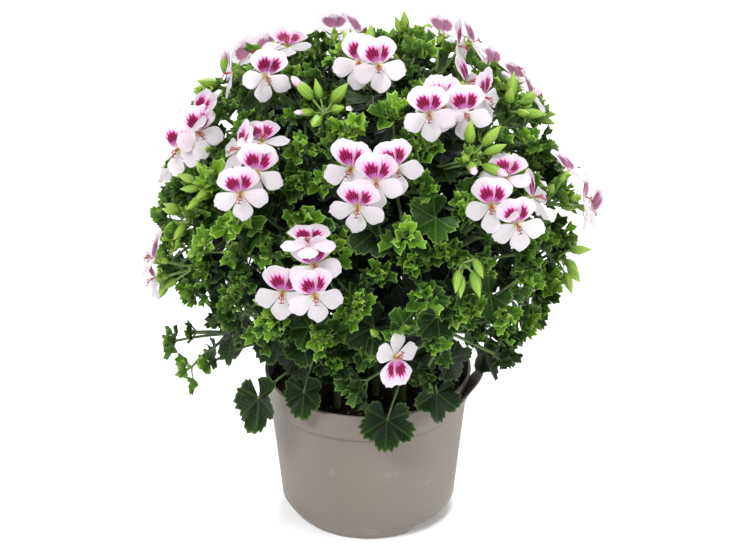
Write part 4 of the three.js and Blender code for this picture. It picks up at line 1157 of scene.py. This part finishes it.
def paint_leaf(s):
    place = s.place()
    x, y = ((coordinate - 0.5) / LEAF_IN_PLANE for coordinate in s.plane())
    radius = (x * x + y * y) ** 0.5
    angle = y.maths("ARCTAN2", y, x)
    off_rib = angle.maths("PINGPONG", angle, 0.5)
    rib = (off_rib * radius).between(0.05, 0.015) * radius.between(1.0, 0.7)
    slant = radius - off_rib * 0.55
    branch = slant.maths("PINGPONG", slant, 0.085)
    vein = rib.maths("MAXIMUM", rib, branch.between(0.024, 0.006) * 0.5)
    # tone is the leaf's age, young and light to old and dark, and also painted shade: darker inside the bush
    # and low down
    tone, under, edge = s.attribute("tone"), s.attribute("under"), s.attribute("edge")
    mottle, patch = s.noise(320.0, 3.0, place), s.noise(60.0, 2.0, place)
    shade_of = tone + 0.2 * (patch - 0.5) + 0.12 * (mottle - 0.5) + 0.26 * (edge - 0.85)
    green = s.node("ShaderNodeValToRGB", {"Fac": shade_of}, stops=[
        (0.0, (0.002, 0.006, 0.002)), (0.22, (0.008, 0.027, 0.003)), (0.45, (0.028, 0.086, 0.005)),
        (0.7, (0.094, 0.222, 0.009)), (1.0, (0.250, 0.450, 0.034))])
    green = (vein * (0.02 + 0.38 * tone)).mix(green, (0.24, 0.42, 0.07))
    green = (edge.between(0.9, 0.97) * tone * (0.5 + 0.8 * tone)).mix(green, (0.42, 0.62, 0.18))
    green = (under * (0.1 + 0.6 * tone)).mix(green, (0.085, 0.16, 0.04))
    crease = (1 - vein) * 0.8 + 0.35 * s.noise(900.0, 3.0, place)
    return {"Base Color": green, "Roughness": 0.36 + 0.2 * mottle + 0.15 * under,
            "Normal": s.bump(crease, 0.6, 0.0007)}


def paint_stalk(s):
    place = s.place()
    # tone lightens young stalks, and darkens stalks inside the bush and low down as painted shade
    tone = s.attribute("tone")
    streak = s.noise(240.0, 4.0, place)
    hair = s.noise(2600.0, 2.0, place)
    green = s.node("ShaderNodeValToRGB", {"Fac": tone + 0.3 * (streak - 0.5)}, stops=[
        (0.0, (0.055, 0.048, 0.022)), (0.25, (0.050, 0.085, 0.026)), (0.6, (0.098, 0.185, 0.042)),
        (1.0, (0.215, 0.330, 0.085))])
    return {"Base Color": hair.between(0.5, 0.75).mix(green, (0.30, 0.38, 0.17)),
            "Roughness": 0.5 + 0.2 * streak, "Normal": s.bump(streak + 0.4 * hair, 0.4, 0.0005)}


def paint_bud(s):
    place = s.place()
    along = s.attribute("edge")
    petal = s.attribute("part")
    turn = s.plane()[0] * (2 * BUD_RIDGES * 3.1416)
    ridge = abs(turn.maths("SINE", turn))
    streak = s.noise(420.0, 4.0, place)
    green = s.node("ShaderNodeValToRGB", {"Fac": 0.55 * along + 0.35 * ridge + 0.3 * (streak - 0.5)}, stops=[
        (0.0, (0.095, 0.200, 0.018)), (0.5, (0.210, 0.360, 0.034)), (1.0, (0.40, 0.56, 0.11))])
    pink = along.mix((0.62, 0.26, 0.42), (0.80, 0.66, 0.74))
    return {"Base Color": petal.mix(green, pink), "Roughness": 0.45 + 0.2 * streak,
            "Normal": s.bump(ridge * 0.6 + streak, 0.4, 0.0006)}


leaf_green = finish_of("leaf_green", paint_leaf, Specular_IOR_Level=0.15)
stalk_green = finish_of("stalk_green", paint_stalk, Specular_IOR_Level=0.35)
bud_green = finish_of("bud_green", paint_bud, Specular_IOR_Level=0.4)

plant_growth = Growing(
    "plant_growth", Stalk_Sides=7, Hair=stalk_hair, Hairs_Per_Square_Metre=55000.0,
    Leaf_Finish=leaf_green, Stalk_Finish=stalk_green, Bud_Finish=bud_green,
    **{f"Kind_{k}": kind for k, kind in enumerate(LEAF_KINDS + BUD_KINDS)})
entry = plant_growth.entry


def stalks_in(growing, finish):
    """Round tubes along the edges of the growing mesh, as thick as their points say."""
    curve = growing.node("GeometryNodeMeshToCurve", {"Mesh": growing.entry["Geometry"]})
    circle = growing.node("GeometryNodeCurvePrimitiveCircle",
                          {"Resolution": growing.entry["Stalk_Sides"], "Radius": 1.0})
    thick = growing.named("thick", "FLOAT")
    tube = growing.node("GeometryNodeCurveToMesh",
                        {"Curve": curve, "Profile Curve": circle, "Scale": thick, "Fill Caps": True})
    smooth = growing.node("GeometryNodeSetShadeSmooth", {"Geometry": tube})
    roots = growing.node("GeometryNodeDistributePointsOnFaces",
                         {"Mesh": smooth, "Density": growing.entry["Hairs_Per_Square_Metre"], "Seed": 7})
    upright = Shade(growing.tree, roots.socket.node.outputs["Rotation"])
    hair = growing.shape("Hair")
    length = growing.node("FunctionNodeRandomValue", {2: 0.6 * MM, 3: 1.4 * MM, "Seed": 11}, 1,
                          data_type="FLOAT")
    hairs = growing.node("GeometryNodeInstanceOnPoints",
                         {"Points": roots, "Instance": hair, "Rotation": upright, "Scale": length})
    return growing.finished(growing.join([smooth, hairs]), finish)


def set_out(growing, kinds, finish):
    """The shapes of several kinds, each turned as its point says."""
    face, tip = growing.named("face", "FLOAT_VECTOR"), growing.named("tip", "FLOAT_VECTOR")
    turn = growing.node("FunctionNodeAxesToRotation", {"Primary Axis": face, "Secondary Axis": tip},
                        primary_axis="Z", secondary_axis="X")
    laid = []
    for k in kinds:
        this_kind = growing.node("FunctionNodeCompare", {2: growing.named("kind", "INT"), 3: k},
                                 data_type="INT", operation="EQUAL")
        laid.append(growing.node("GeometryNodeInstanceOnPoints", {
            "Points": growing.entry["Geometry"], "Selection": this_kind,
            "Instance": growing.shape(f"Kind_{k}"), "Rotation": turn,
            "Scale": growing.named("size", "FLOAT")}))
    return growing.finished(growing.join(laid), finish)


plant_growth.end(plant_growth.join([
    stalks_in(plant_growth, entry["Stalk_Finish"]),
    set_out(plant_growth, range(len(LEAF_KINDS)), entry["Leaf_Finish"]),
    set_out(plant_growth, range(len(LEAF_KINDS), len(LEAF_KINDS + BUD_KINDS)), entry["Bud_Finish"])]))


class Sprig:
    """What grows on one stem: lines to become stalks, and points to become leaves or buds."""

    def __init__(self):
        self.points, self.edges = [], []
        self.values = {"thick": [], "tone": [], "size": [], "kind": [], "face": [], "tip": []}

    def add(self, place, thick=0.0, tone=0.5, size=0.0, kind=-1, face=(0, 0, 1), tip=(1, 0, 0)):
        self.points.append(np.asarray(place, float) * MM)
        for key, value in (("thick", thick * MM), ("tone", tone), ("size", size * MM), ("kind", kind),
                           ("face", face), ("tip", tip)):
            self.values[key].append(value)

    def stalk(self, path, first, last, tone, swell=0.0):
        start = len(self.points)
        for k, place in enumerate(path):
            share = k / (len(path) - 1)
            bulge = swell * (0.5 + 0.5 * math.cos(4 * math.pi * share)) * (0 < k < len(path) - 1)
            self.add(place, first + (last - first) * share + bulge, tone)
        self.edges += [(start + k, start + k + 1) for k in range(len(path) - 1)]

    def blade(self, kind, setting, size, tone):
        self.add(setting.at, 0, tone, size, kind, setting.face, setting.tip)

    def thing(self, name):
        mesh = bpy.data.meshes.new(name)
        mesh.from_pydata([tuple(p) for p in self.points], self.edges, [])
        kinds = {"kind": "INT", "face": "FLOAT_VECTOR", "tip": "FLOAT_VECTOR"}
        for key, values in self.values.items():
            give(mesh, key, kinds.get(key, "FLOAT"), "POINT", values)
        return placed(name, mesh)


sprigs = {stem.name: Sprig() for stem in stems}
flowers = [flower for head in heads for flower in head.flowers]
flower_places = np.array([flower.at for flower in flowers])
flower_faces = np.array([flower.face for flower in flowers])


FLOWER_RADIUS, CLEAR_BEFORE_FLOWER, CLEAR_BEHIND_FLOWER = 14, 34, 3


def covers_flower(place, reach):
    """True if something of this reach would stand before a flower's petals or in them."""
    away = place - flower_places
    height = np.sum(away * flower_faces, axis=1)
    aside = np.linalg.norm(away - flower_faces * height[:, None], axis=1)
    level = (height > -CLEAR_BEHIND_FLOWER - reach * 0.3) & (height < CLEAR_BEFORE_FLOWER)
    return bool(np.any(level & (aside < FLOWER_RADIUS + reach)))


def tuft(sprig, place, axis, size, tone, seed, count, low=14):
    """A tuft of young leaves: the outer ones spread and the inner ones stand up."""
    u, v = across(axis)
    for k in range(count):
        share = k / max(1, count - 1)
        out = swung(u, v, GOLDEN * k + 360 * chance(seed, 1) + 30 * chance(seed, 120 + k))
        lift = low + 52 * share + 30 * (chance(seed, 20 + k) - 0.5)
        tip = swung(out, axis, lift)
        face = turned_about(swung(axis, -out, lift), tip, 80 * (chance(seed, 60 + k) - 0.5))
        length = size * (1 - 0.45 * share) * (0.75 + 0.5 * chance(seed, 40 + k))
        at = place + tip * length * (0.3 + 0.4 * chance(seed, 140 + k)) + axis * size * 0.2 * share
        if covers_flower(at + tip * length * 0.5, length * 0.35):
            continue
        sprig.stalk([place, (place + at) / 2 + axis * 0.4, at + tip * 0.05 * length], 0.65, 0.45, tone)
        kind = YOUNG + int(YOUNG_SHAPES * chance(seed, 80 + k))
        lighter = 0.42 * share - 0.06 + 0.24 * (chance(seed, 160 + k) - 0.5)
        sprig.blade(kind, Setting(at, tip, face), length, min(1, max(0, tone + lighter)))


DOME_RADIUS = 120


def age_and_painted_shade_at(place):
    """How young and light the leaves are, with painted shade: dark inside the bush and low down, where shade
    falls, and light at its outside.
    """
    out = np.linalg.norm(place - CROWN) / DOME_RADIUS
    high = min(1, max(0, (place[2] - 105) / 130))
    return 0.68 * min(1, max(0, (out - 0.6) / 0.4)) ** 1.6 * (0.4 + 0.6 * high) + 0.04 * high


for stem in stems:
    sprig = sprigs[stem.name]
    sprig.stalk([stem.base, *stem.curve.path(14)], 2.35, 1.15, tone=0.22, swell=0.22)
for stem, shoot in shoots:
    sprigs[stem.name].stalk(shoot.path(6), 1.25, 1.0, tone=0.45, swell=0.12)


def rosette(stem, blade, radius, count, seed):
    """The leaves round a shoot's tip that its solid has, in pairs, and a tuft of younger ones between."""
    sprig = sprigs[stem.name]
    tone = age_and_painted_shade_at(blade.at) + 0.3 * (chance(seed, 2) - 0.5)
    for q in range(2 * count):
        inner = q % 2
        turn = 180 / count * (q + 1) + 16 * (chance(seed, 30 + q) - 0.5)
        out = swung(blade.tip, blade.side, turn)
        tip = unit(out + blade.face * ((0.62 if q % 4 > 1 else 0.4) + 0.5 * inner))
        size = radius * ((0.5 if inner else 0.62) + 0.12 * (chance(seed, 130 + q) - 0.5))
        at = blade.at + tip * radius * (0.22 if inner else 0.4)
        if covers_flower(at + tip * size * 0.5, size * 0.35):
            continue
        level = unit(blade.face - out * (0.5 + 0.5 * inner))
        face = turned_about(level, tip, 50 * (chance(seed, 60 + q) - 0.5))
        shade = (0.62 + 0.22 * inner) * tone + 0.2 * (chance(seed, 160 + q) - 0.5)
        sprig.stalk([blade.at - blade.face * 1.5, at + tip * 0.3], 0.75, 0.5, tone)
        kind = YOUNG + int(YOUNG_SHAPES * chance(seed, 90 + q))
        sprig.blade(kind, Setting(at, tip, face), size, max(0, shade))
    middle = blade.at + blade.face * 0.1 * radius
    tuft(sprig, middle, blade.face, radius * 0.55, tone + 0.1, 300 + seed, count=6, low=35)


OLD_LEAF_RADIUS = 16
for k, (stem, blade, radius) in enumerate(rosettes):
    rosette(stem, blade, radius, count=4, seed=k)
for k, (stem, start, blade, radius) in enumerate(tufts):
    path = [start, (start + blade.at) / 2, blade.at - blade.face]
    sprigs[stem.name].stalk(path, 1.1, 0.95, tone=0.42)
    rosette(stem, blade, radius, count=3, seed=100 + k)
for k, (blade, radius, stem, curve) in enumerate(leaves):
    sprig = sprigs[stem.name]
    large = radius >= OLD_LEAF_RADIUS
    tone = 0.62 * age_and_painted_shade_at(blade.at) * (0.7 + 0.6 * chance(k, 9))
    sprig.stalk([*curve.path(5), blade.at + blade.tip * 0.5], 0.95 if large else 0.8, 0.7, tone + 0.15)
    kind = OLD + k % OLD_SHAPES if large else GROWN + k % GROWN_SHAPES
    sprig.blade(kind, blade, radius * 1.04, tone)
for head in heads:
    sprig = sprigs[head.stem.name]
    sprig.stalk([*head.curve.path(7), head.hub - head.face * 0.4], 0.95, 1.05, tone=0.62)
    sprig.stalk([head.hub - head.face * 2.2, head.hub - head.face, head.hub], 1.2, 2.5, tone=0.7)
    for k, flower in enumerate(head.flowers):
        neck = flower.at - flower.face * CALYX_LENGTH
        start = head.leaving(neck)
        lean = blend_of((head.face, 0.7), (unit(neck - start), 0.5))
        sprig.stalk(Bend(start, lean, neck, 0.35).path(5), 0.72, 0.95, tone=0.72)
        sprig.blade(CALYX, flower, size=1.0, tone=0.7)
    for k, way in enumerate(head.buds):
        start = head.leaving(head.hub + way * 9)
        sprig.stalk([start, start + way * 4.5, start + way * 9.3], 0.7, 0.8, tone=0.75)
        kind = PINK_BUD if chance(head.index, 70 + k) > 0.6 else BUD
        sprig.add(start + way * 9, tone=0.7, size=1.0, kind=kind, face=way, tip=across(way)[0])


# Each bunch of buds: azimuth, elevation and distance from the crown's centre, how many buds it has
# and how far they hang
UMBELS = [
    (-58, 24, 128, 5, 0.0),
    (38, 38, 130, 6, 0.0),
    (72, 44, 132, 5, 0.0),
    (26, 12, 136, 4, 1.0),
    (-22, 56, 126, 6, 0.1),
    (-68, 10, 126, 5, 0.3),
    (-84, -12, 134, 5, 0.2),
    (-4, 78, 124, 4, 0.0),
    (70, -2, 132, 4, 0.4),
    (108, 30, 130, 5, 0.2),
    (160, 50, 128, 6, 0.0),
    (-160, 24, 130, 5, 0.2),
    (-110, 40, 130, 5, 0.0),
    (150, -6, 130, 4, 0.5),
]


def nearest_shoot(place, low, high):
    """The stem and the point on it from which a stalk would reach a place most naturally."""
    way = unit(place - CROWN)
    stem = max(stems, key=lambda stem: np.dot(stem.aim, way) + 0.1 * chance(stem.index, 3))
    share = low + (high - low) * chance(int(abs(place[0] * 7 + place[2] * 3)), 4)
    return stem, stem.curve.point(share), stem.curve.way(share)


def umbel(azimuth, elevation, distance, count, droop, seed):
    """A bunch of buds on a stalk of its own, that spread from one point."""
    place = CROWN + direction(azimuth, elevation) * distance
    stem, start, ahead = nearest_shoot(place, 0.6, 0.85)
    sprig = sprigs[stem.name]
    way = unit(place - CROWN)
    hub = place - way * 13
    lean = blend_of((ahead, 0.6), (unit(hub - start), 0.5))
    sprig.stalk(Bend(start, lean, hub, 0.45).path(7), 1.0, 1.05, tone=0.7)
    u, v = across(way)
    for k in range(count):
        out = swung(u, v, 360 / count * k + 50 * chance(seed, k))
        aim = blend_of((way, 0.75), (out, 0.75), (UP, -droop * 0.4))
        end = hub + aim * (7 + 4 * chance(seed, 20 + k))
        nod = blend_of((aim, 1 - 0.5 * droop), (UP, -droop))
        sprig.stalk(Bend(hub, aim, end, 0.5).path(4), 0.6, 0.7, tone=0.85)
        kind = PINK_BUD if chance(seed, 60 + k) > 0.86 else BUD
        size = 1.0 + 0.5 * chance(seed, 40 + k)
        sprig.add(end, tone=0.9, size=size, kind=kind, face=nod, tip=across(nod)[0])
        bract = Setting(hub + out * 0.8, out, blend_of((way, 1), (out, -0.4)))
        sprig.blade(YOUNG + k % YOUNG_SHAPES, bract, size=4.5, tone=0.8)


for row in UMBELS:
    umbel(*row, len(UMBELS) + row[0])


def tuft_on_stalk(place, axis, size, tone, seed, count):
    """A tuft of young leaves at the end of a side stalk that leaves the nearest stem."""
    stem, start, ahead = nearest_shoot(place, 0.5, 0.8)
    sprig = sprigs[stem.name]
    lean = blend_of((ahead, 0.6), (unit(place - start), 0.5))
    sprig.stalk(Bend(start, lean, place, 0.45).path(6), 1.0, 0.85, tone=0.4)
    tuft(sprig, place, axis, size, tone, seed, count)


# Tufts spread over the dome's outside, and single leaves fill its inside. Every eighth of those is a
# large old leaf that comes to the outside. Both are laid out by the golden angle.
TUFTS, FILLERS, OUTER_LEAF_EVERY = 150, 420, 8
GOLDEN_ANGLE = 137.508
for k in range(TUFTS):
    way = spread_way(k, TUFTS, -0.3, 1.28, GOLDEN_ANGLE * k)
    distance = 106 + 15 * chance(k, 51)
    for inward in (0, 9, 18):
        place = CROWN + way * (distance - inward)
        if not covers_flower(place, 7):
            break
    else:
        continue
    axis = blend_of((way, 1), (UP, 0.4), (direction(360 * chance(k, 52), 0), 0.25))
    tone = min(1, age_and_painted_shade_at(place) + 0.3 * (chance(k, 53) - 0.4))
    tuft_on_stalk(place, axis, 9 + 4 * chance(k, 54), tone, seed=500 + k, count=6 + k % 4)

# The low side shoot at the left carries three small tufts that stand clear of the bush.
for k, place in enumerate(((-121, -4, 119), (-112, -6, 101), (-98, -10, 107))):
    place = np.array(place, float)
    axis = blend_of((unit(place - CROWN), 1), (UP, 0.6))
    tuft_on_stalk(place, axis, size=10.5, tone=0.6, seed=900 + k, count=6)

for k in range(FILLERS):
    way = spread_way(k, FILLERS, -0.6, 1.56, GOLDEN_ANGLE * k + 61)
    outer = k % OUTER_LEAF_EVERY == 0
    far = 1 if outer else chance(k, 61)
    place = CROWN + way * (50 + (56 if way[2] > -0.2 else 38) * far)
    size = 17 + 5 * chance(k, 62) if outer else 12 + 4 * chance(k, 62) + 4 * (1 - far)
    if covers_flower(place, size * 0.8):
        continue
    stem, start, ahead = nearest_shoot(place, 0.35, 0.75)
    u, v = across(way)
    any_turn = math.degrees(360 * chance(k, 63))
    tip = blend_of((swung(u, v, any_turn), 1), (UP, -0.35), (way, 0.3))
    face = blend_of((way, 0.7), (UP, 0.5), (tip, 0.15))
    blade = Setting(place, tip, face)
    # Inner filler leaves are darkened well below the tone of their place: painted shade for the deep inside
    # of the bush. Outer old leaves get a dark green of their own.
    tone = 0.2 + 0.26 * chance(k, 64) if outer else 0.26 * age_and_painted_shade_at(place) * (0.3 + chance(k, 64))
    sprig = sprigs[stem.name]
    sprig.stalk(Bend(start, ahead, place - blade.tip * 0.5, 0.4).path(5), 0.75, 0.6, tone + 0.1)
    sprig.blade(OLD + k % OLD_SHAPES if outer else GROWN + k % GROWN_SHAPES, blade, size, tone)

for stem in stems:
    green = plant_growth.grow(sprigs[stem.name].thing(f"greenery_{stem.index + 1:02d}"))
    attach(green, "root")
    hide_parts(stem.name)
for kind in LEAF_KINDS + BUD_KINDS + [stalk_hair]:
    bpy.data.objects.remove(kind)

# The flowers: five soft petals on each calyx. The two upper ones are broad and overlap, and each
# has a crimson blotch with dark streaks that run out of the throat; the lower three are white.

PETAL_SPAN = 20.0
PETAL_ROWS, PETAL_COLUMNS = 10, 8
STAMENS, STIGMA_LOBES = 7, 5
# How wide a petal is along its length, as shares of its length and of its greatest width
UPPER_WIDTHS = [
    (0, 0.14), (0.12, 0.32), (0.3, 0.68), (0.5, 0.92), (0.66, 1), (0.82, 0.97), (0.93, 0.84), (1, 0.66),
]
LOWER_WIDTHS = [
    (0, 0.16), (0.12, 0.27), (0.3, 0.58), (0.5, 0.86), (0.66, 1), (0.8, 0.96), (0.91, 0.83), (1, 0.63),
]


# The lower petals: the angle, length and width of each
LOWER_PETALS = [(180, 14.9, 10.8), (-110, 14.6, 11.4), (110, 14.6, 11.4)]
UPPER_ANGLE, UPPER_LENGTH, UPPER_WIDTH = 23, 16.2, 14.4


def petal(shell, angle, length, width, widths, part, lift, seed):
    """One petal, from the throat out along an angle from the flower's top. Its outer sides roll back,
    and the side of an upper petal that lies on its neighbour stays flat."""
    u = np.sin(np.linspace(0, 1, PETAL_ROWS + 1) * math.pi / 2)[:, None] * np.ones((1, PETAL_COLUMNS + 1))
    v = np.sin(np.linspace(-1, 1, PETAL_COLUMNS + 1) * math.pi / 2)[None, :] * np.ones((PETAL_ROWS + 1, 1))
    half = np.interp(u, *zip(*widths)) * width / 2
    ragged = 1 + 0.025 * np.sin(9 * v + 6.28 * chance(seed, 1)) * u ** 3
    x = length * (u - 0.13 * u ** 2 * v ** 2) * ragged + 0.7
    y = half * v * (1 + 0.04 * np.sin(7 * u + 6.28 * chance(seed, 2)))
    wave = 0.4 * u ** 2 * np.sin(2.4 * v * math.pi * 0.7 + 6.28 * chance(seed, 3))
    outer = np.clip(v * np.sign(angle), 0, 1) if part else np.abs(v)
    bow = -1.3 * u ** 3 * (0.5 + chance(seed, 4)) - 0.9 * u * outer ** 2
    z = 2.9 * u + wave + bow + lift - 0.9 * (1 - u) ** 3 + 0.25 * np.sin(14 * v) * u * (1 - u)
    turn = math.radians(angle)
    grid = np.stack([x * math.cos(turn) - y * math.sin(turn), x * math.sin(turn) + y * math.cos(turn), z], 2)
    uv = np.stack([x / PETAL_SPAN, 0.5 + y / PETAL_SPAN], 2)
    shell.add(grid, thickness=0.3, uv=uv, edge=np.maximum(u, np.abs(v)), kind=part)


def corolla(name, seed):
    """The five petals of a flower, each of which strays a little from the rule. The upper ones lie
    over the lower ones, and the second of them over the first."""
    shell = Shell()
    stray = lambda item, amount: amount * (2 * chance(seed, item) - 1)
    for k, (angle, length, width) in enumerate(LOWER_PETALS):
        petal(shell, angle + stray(k, 5), length + stray(k + 9, 0.6), width + stray(k + 20, 0.6),
              LOWER_WIDTHS, part=0.0, lift=0.1 + 0.18 * k, seed=seed * 9 + k)
    for k, angle in enumerate((-UPPER_ANGLE, UPPER_ANGLE)):
        length, width = UPPER_LENGTH + stray(k + 33, 0.5), UPPER_WIDTH + stray(k + 36, 0.5)
        petal(shell, angle + stray(k + 30, 3), length, width, UPPER_WIDTHS, part=1.0,
              lift=0.62 + 0.36 * k, seed=seed * 9 + 4 + k)
    return shell.thing(name)


def thread(shell, path, radii, part, sides=5):
    """A closed round thread along a path, as thick at each point as the radii say."""
    start = len(shell.points)
    for k, (ring, radius) in enumerate(zip(rings_along(path, 1, 1, sides), radii)):
        for corner in ring:
            shell.point(path[k] + (corner - path[k]) * radius, (0, 0), k / (len(path) - 1))
    last = len(path) - 1
    at = lambda i, k: start + i * sides + k % sides
    made = [[at(i, k), at(i + 1, k), at(i + 1, k + 1), at(i, k + 1)]
            for i in range(last) for k in range(sides)]
    made += [[at(0, k) for k in range(sides)], [at(last, k) for k in reversed(range(sides))]]
    shell.skin(made, part)


def flower_middle(name):
    """The stamens with their anthers, and the style with its curled stigma, which lean down out of
    the throat."""
    shell = Shell()
    for k in range(STAMENS):
        turn = math.radians(360 / STAMENS * k)
        out = np.array([math.cos(turn) - 1.2, math.sin(turn), 0]) * 0.3
        length = 3.6 + 1.4 * chance(k, 5)
        bend = Bend(np.array([0.4 * math.cos(turn), 0.4 * math.sin(turn), -0.6]), UP,
                    np.array([0, 0, length]) + out * length * 0.9, 0.5)
        thread(shell, bend.path(4), [0.2, 0.16, 0.13, 0.11, 0.09], part=0.0, sides=4)
        end, way = bend.end, bend.way(1)
        lie = across(way)[k % 2]
        thread(shell, [end - lie * 0.7, end - lie * 0.35, end + lie * 0.35, end + lie * 0.7],
               [0.12, 0.3, 0.3, 0.12], part=0.5)
    style = Bend(np.array([0, 0, -0.6]), UP, np.array([-3.6, 0, 5.2]), 0.6)
    thread(shell, style.path(5), [0.2, 0.19, 0.18, 0.17, 0.17, 0.2], part=1.0)
    u, v = across(style.way(1))
    for k in range(STIGMA_LOBES):
        out = swung(u, v, 360 / STIGMA_LOBES * k)
        curl = Bend(style.end - style.way(1) * 0.2, style.way(1) + out * 0.5,
                    style.end + out * 1.6 + style.way(1) * 0.1, 0.9)
        thread(shell, curl.path(4), [0.18, 0.17, 0.16, 0.14, 0.09], part=1.0, sides=4)
    return shell.thing(name)


def paint_petal(s):
    place = s.place()
    u, v = s.plane()
    x, y = u * PETAL_SPAN, (v - 0.5) * PETAL_SPAN
    upper, under = s.attribute("part"), s.attribute("under")
    coarse, fine = s.noise(330.0, 2.0, place) - 0.5, s.noise(1100.0, 3.0, place) - 0.5
    reach = (x * x + y * y) ** 0.5
    angle = y.maths("ARCTAN2", y, x + 0.4)
    off_vein = angle.maths("PINGPONG", angle + 0.08 * coarse, 0.1)
    vein = off_vein.between(0.045, 0.012)
    beyond = reach - 11.4 + 15.0 * angle * angle - 2.4 * coarse - 2.0 * fine + 16.0 * off_vein
    aside = abs(angle) + 0.12 * coarse
    white = coarse.between(-0.3, 0.3).mix((0.85, 0.805, 0.865), (0.905, 0.88, 0.92))
    white = (upper * beyond.between(6.0, -0.5) * 0.5).mix(white, (0.80, 0.40, 0.78))
    lilac = (1 - upper) * reach.between(3.0, 9.0) * coarse.between(-0.05, 0.2)
    white = (lilac * 0.3).mix(white, (0.80, 0.70, 0.82))
    white = (vein * reach.between(15, 4) * (0.05 + 0.16 * upper)).mix(white, (0.74, 0.36, 0.64))
    glow = upper * beyond.between(3.0, -0.2) * reach.between(1.6, 3.6) * aside.between(0.78, 0.46)
    pink = (reach + 2.0 * coarse).between(2.5, 6.5).mix((0.56, 0.15, 0.45), (0.64, 0.08, 0.43))
    colour = (glow * 0.92).mix(white, pink)
    spot = upper * beyond.between(1.0, -0.6) * aside.between(0.56, 0.42)
    spot = spot * (reach + 2.5 * fine + 1.4 * coarse).between(3.9, 6.2)
    colour = (spot * 0.98).mix(colour, (0.225, 0.0, 0.042))
    streak = upper * (off_vein + 0.02 * fine).between(0.056, 0.026) * aside.between(0.68, 0.5)
    streak = streak * reach.between(1.4, 2.6) * (beyond + 3.0 * fine).between(-0.6, -3.2)
    colour = (streak * 0.97).mix(colour, (0.030, 0.0, 0.012))
    lower_line = (1 - upper) * vein * reach.between(7, 3) * abs(angle).between(0.3, 0.15) * 0.4
    colour = lower_line.mix(colour, (0.50, 0.03, 0.20))
    colour = reach.between(3.3, 1.5).mix(colour, upper.mix((0.66, 0.52, 0.12), (0.42, 0.16, 0.05)))
    back = (glow * 0.9).mix((0.98, 0.88, 0.955), (0.97, 0.34, 0.68))
    colour = (under * 0.85).mix(colour, back)
    dense = spot.maths("MAXIMUM", glow * glow, spot)
    s.thin(0.63 + 0.22 * under - 0.61 * dense, (0.995, 0.955, 0.99))
    return {"Base Color": colour, "Roughness": 0.52 + 0.12 * (coarse + 0.5),
            "Normal": s.bump(vein * 0.5 + 0.6 * fine, 0.3, 0.0004)}


def paint_middle(s):
    place = s.place()
    part = s.attribute("part")
    grain = s.noise(2400.0, 2.0, place)
    thread_red = s.attribute("edge").between(0.05, 0.7).mix((0.60, 0.46, 0.15), (0.40, 0.035, 0.12))
    anther = (part + 0.1 * (grain - 0.5)).between(0.3, 0.42).mix(thread_red, (0.36, 0.075, 0.03))
    colour = part.between(0.7, 0.9).mix(anther, (0.26, 0.008, 0.05))
    return {"Base Color": colour, "Roughness": 0.5 + 0.2 * grain, "Normal": s.bump(grain, 0.3, 0.0003)}


petal_white = finish_of("petal_white", paint_petal, Specular_IOR_Level=0.16)
middle_finish = finish_of("stamens", paint_middle, Specular_IOR_Level=0.3)
COROLLAS = [corolla(f"corolla_{k}", 11 + k) for k in range(4)]
FLOWER_KINDS = COROLLAS + [flower_middle("stamens_and_style")]
bloom_growth = Growing("bloom_growth", Petal_Finish=petal_white, Middle_Finish=middle_finish,
                       **{f"Kind_{k}": kind for k, kind in enumerate(FLOWER_KINDS)})
bloom_growth.end(bloom_growth.join([
    set_out(bloom_growth, range(len(COROLLAS)), bloom_growth.entry["Petal_Finish"]),
    set_out(bloom_growth, [len(COROLLAS)], bloom_growth.entry["Middle_Finish"])]))

for head in heads:
    bloom = Sprig()
    for k, flower in enumerate(head.flowers):
        kind = int(len(COROLLAS) * chance(head.index, 30 + k))
        bloom.blade(kind, flower, size=1.0, tone=0.5)
        tip = turned_about(flower.tip, flower.face, 40 * (chance(head.index, 50 + k) - 0.5))
        bloom.add(flower.at, size=1.0, kind=len(COROLLAS), face=flower.face, tip=tip)
    blossoms = bloom_growth.grow(bloom.thing(f"bloom_{head.name}"))
    petals = [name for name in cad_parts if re.fullmatch(f"petals_{head.name}(_[0-9]+)?", name)]
    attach(blossoms, "root")
    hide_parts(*petals)
for kind in FLOWER_KINDS:
    bpy.data.objects.remove(kind)
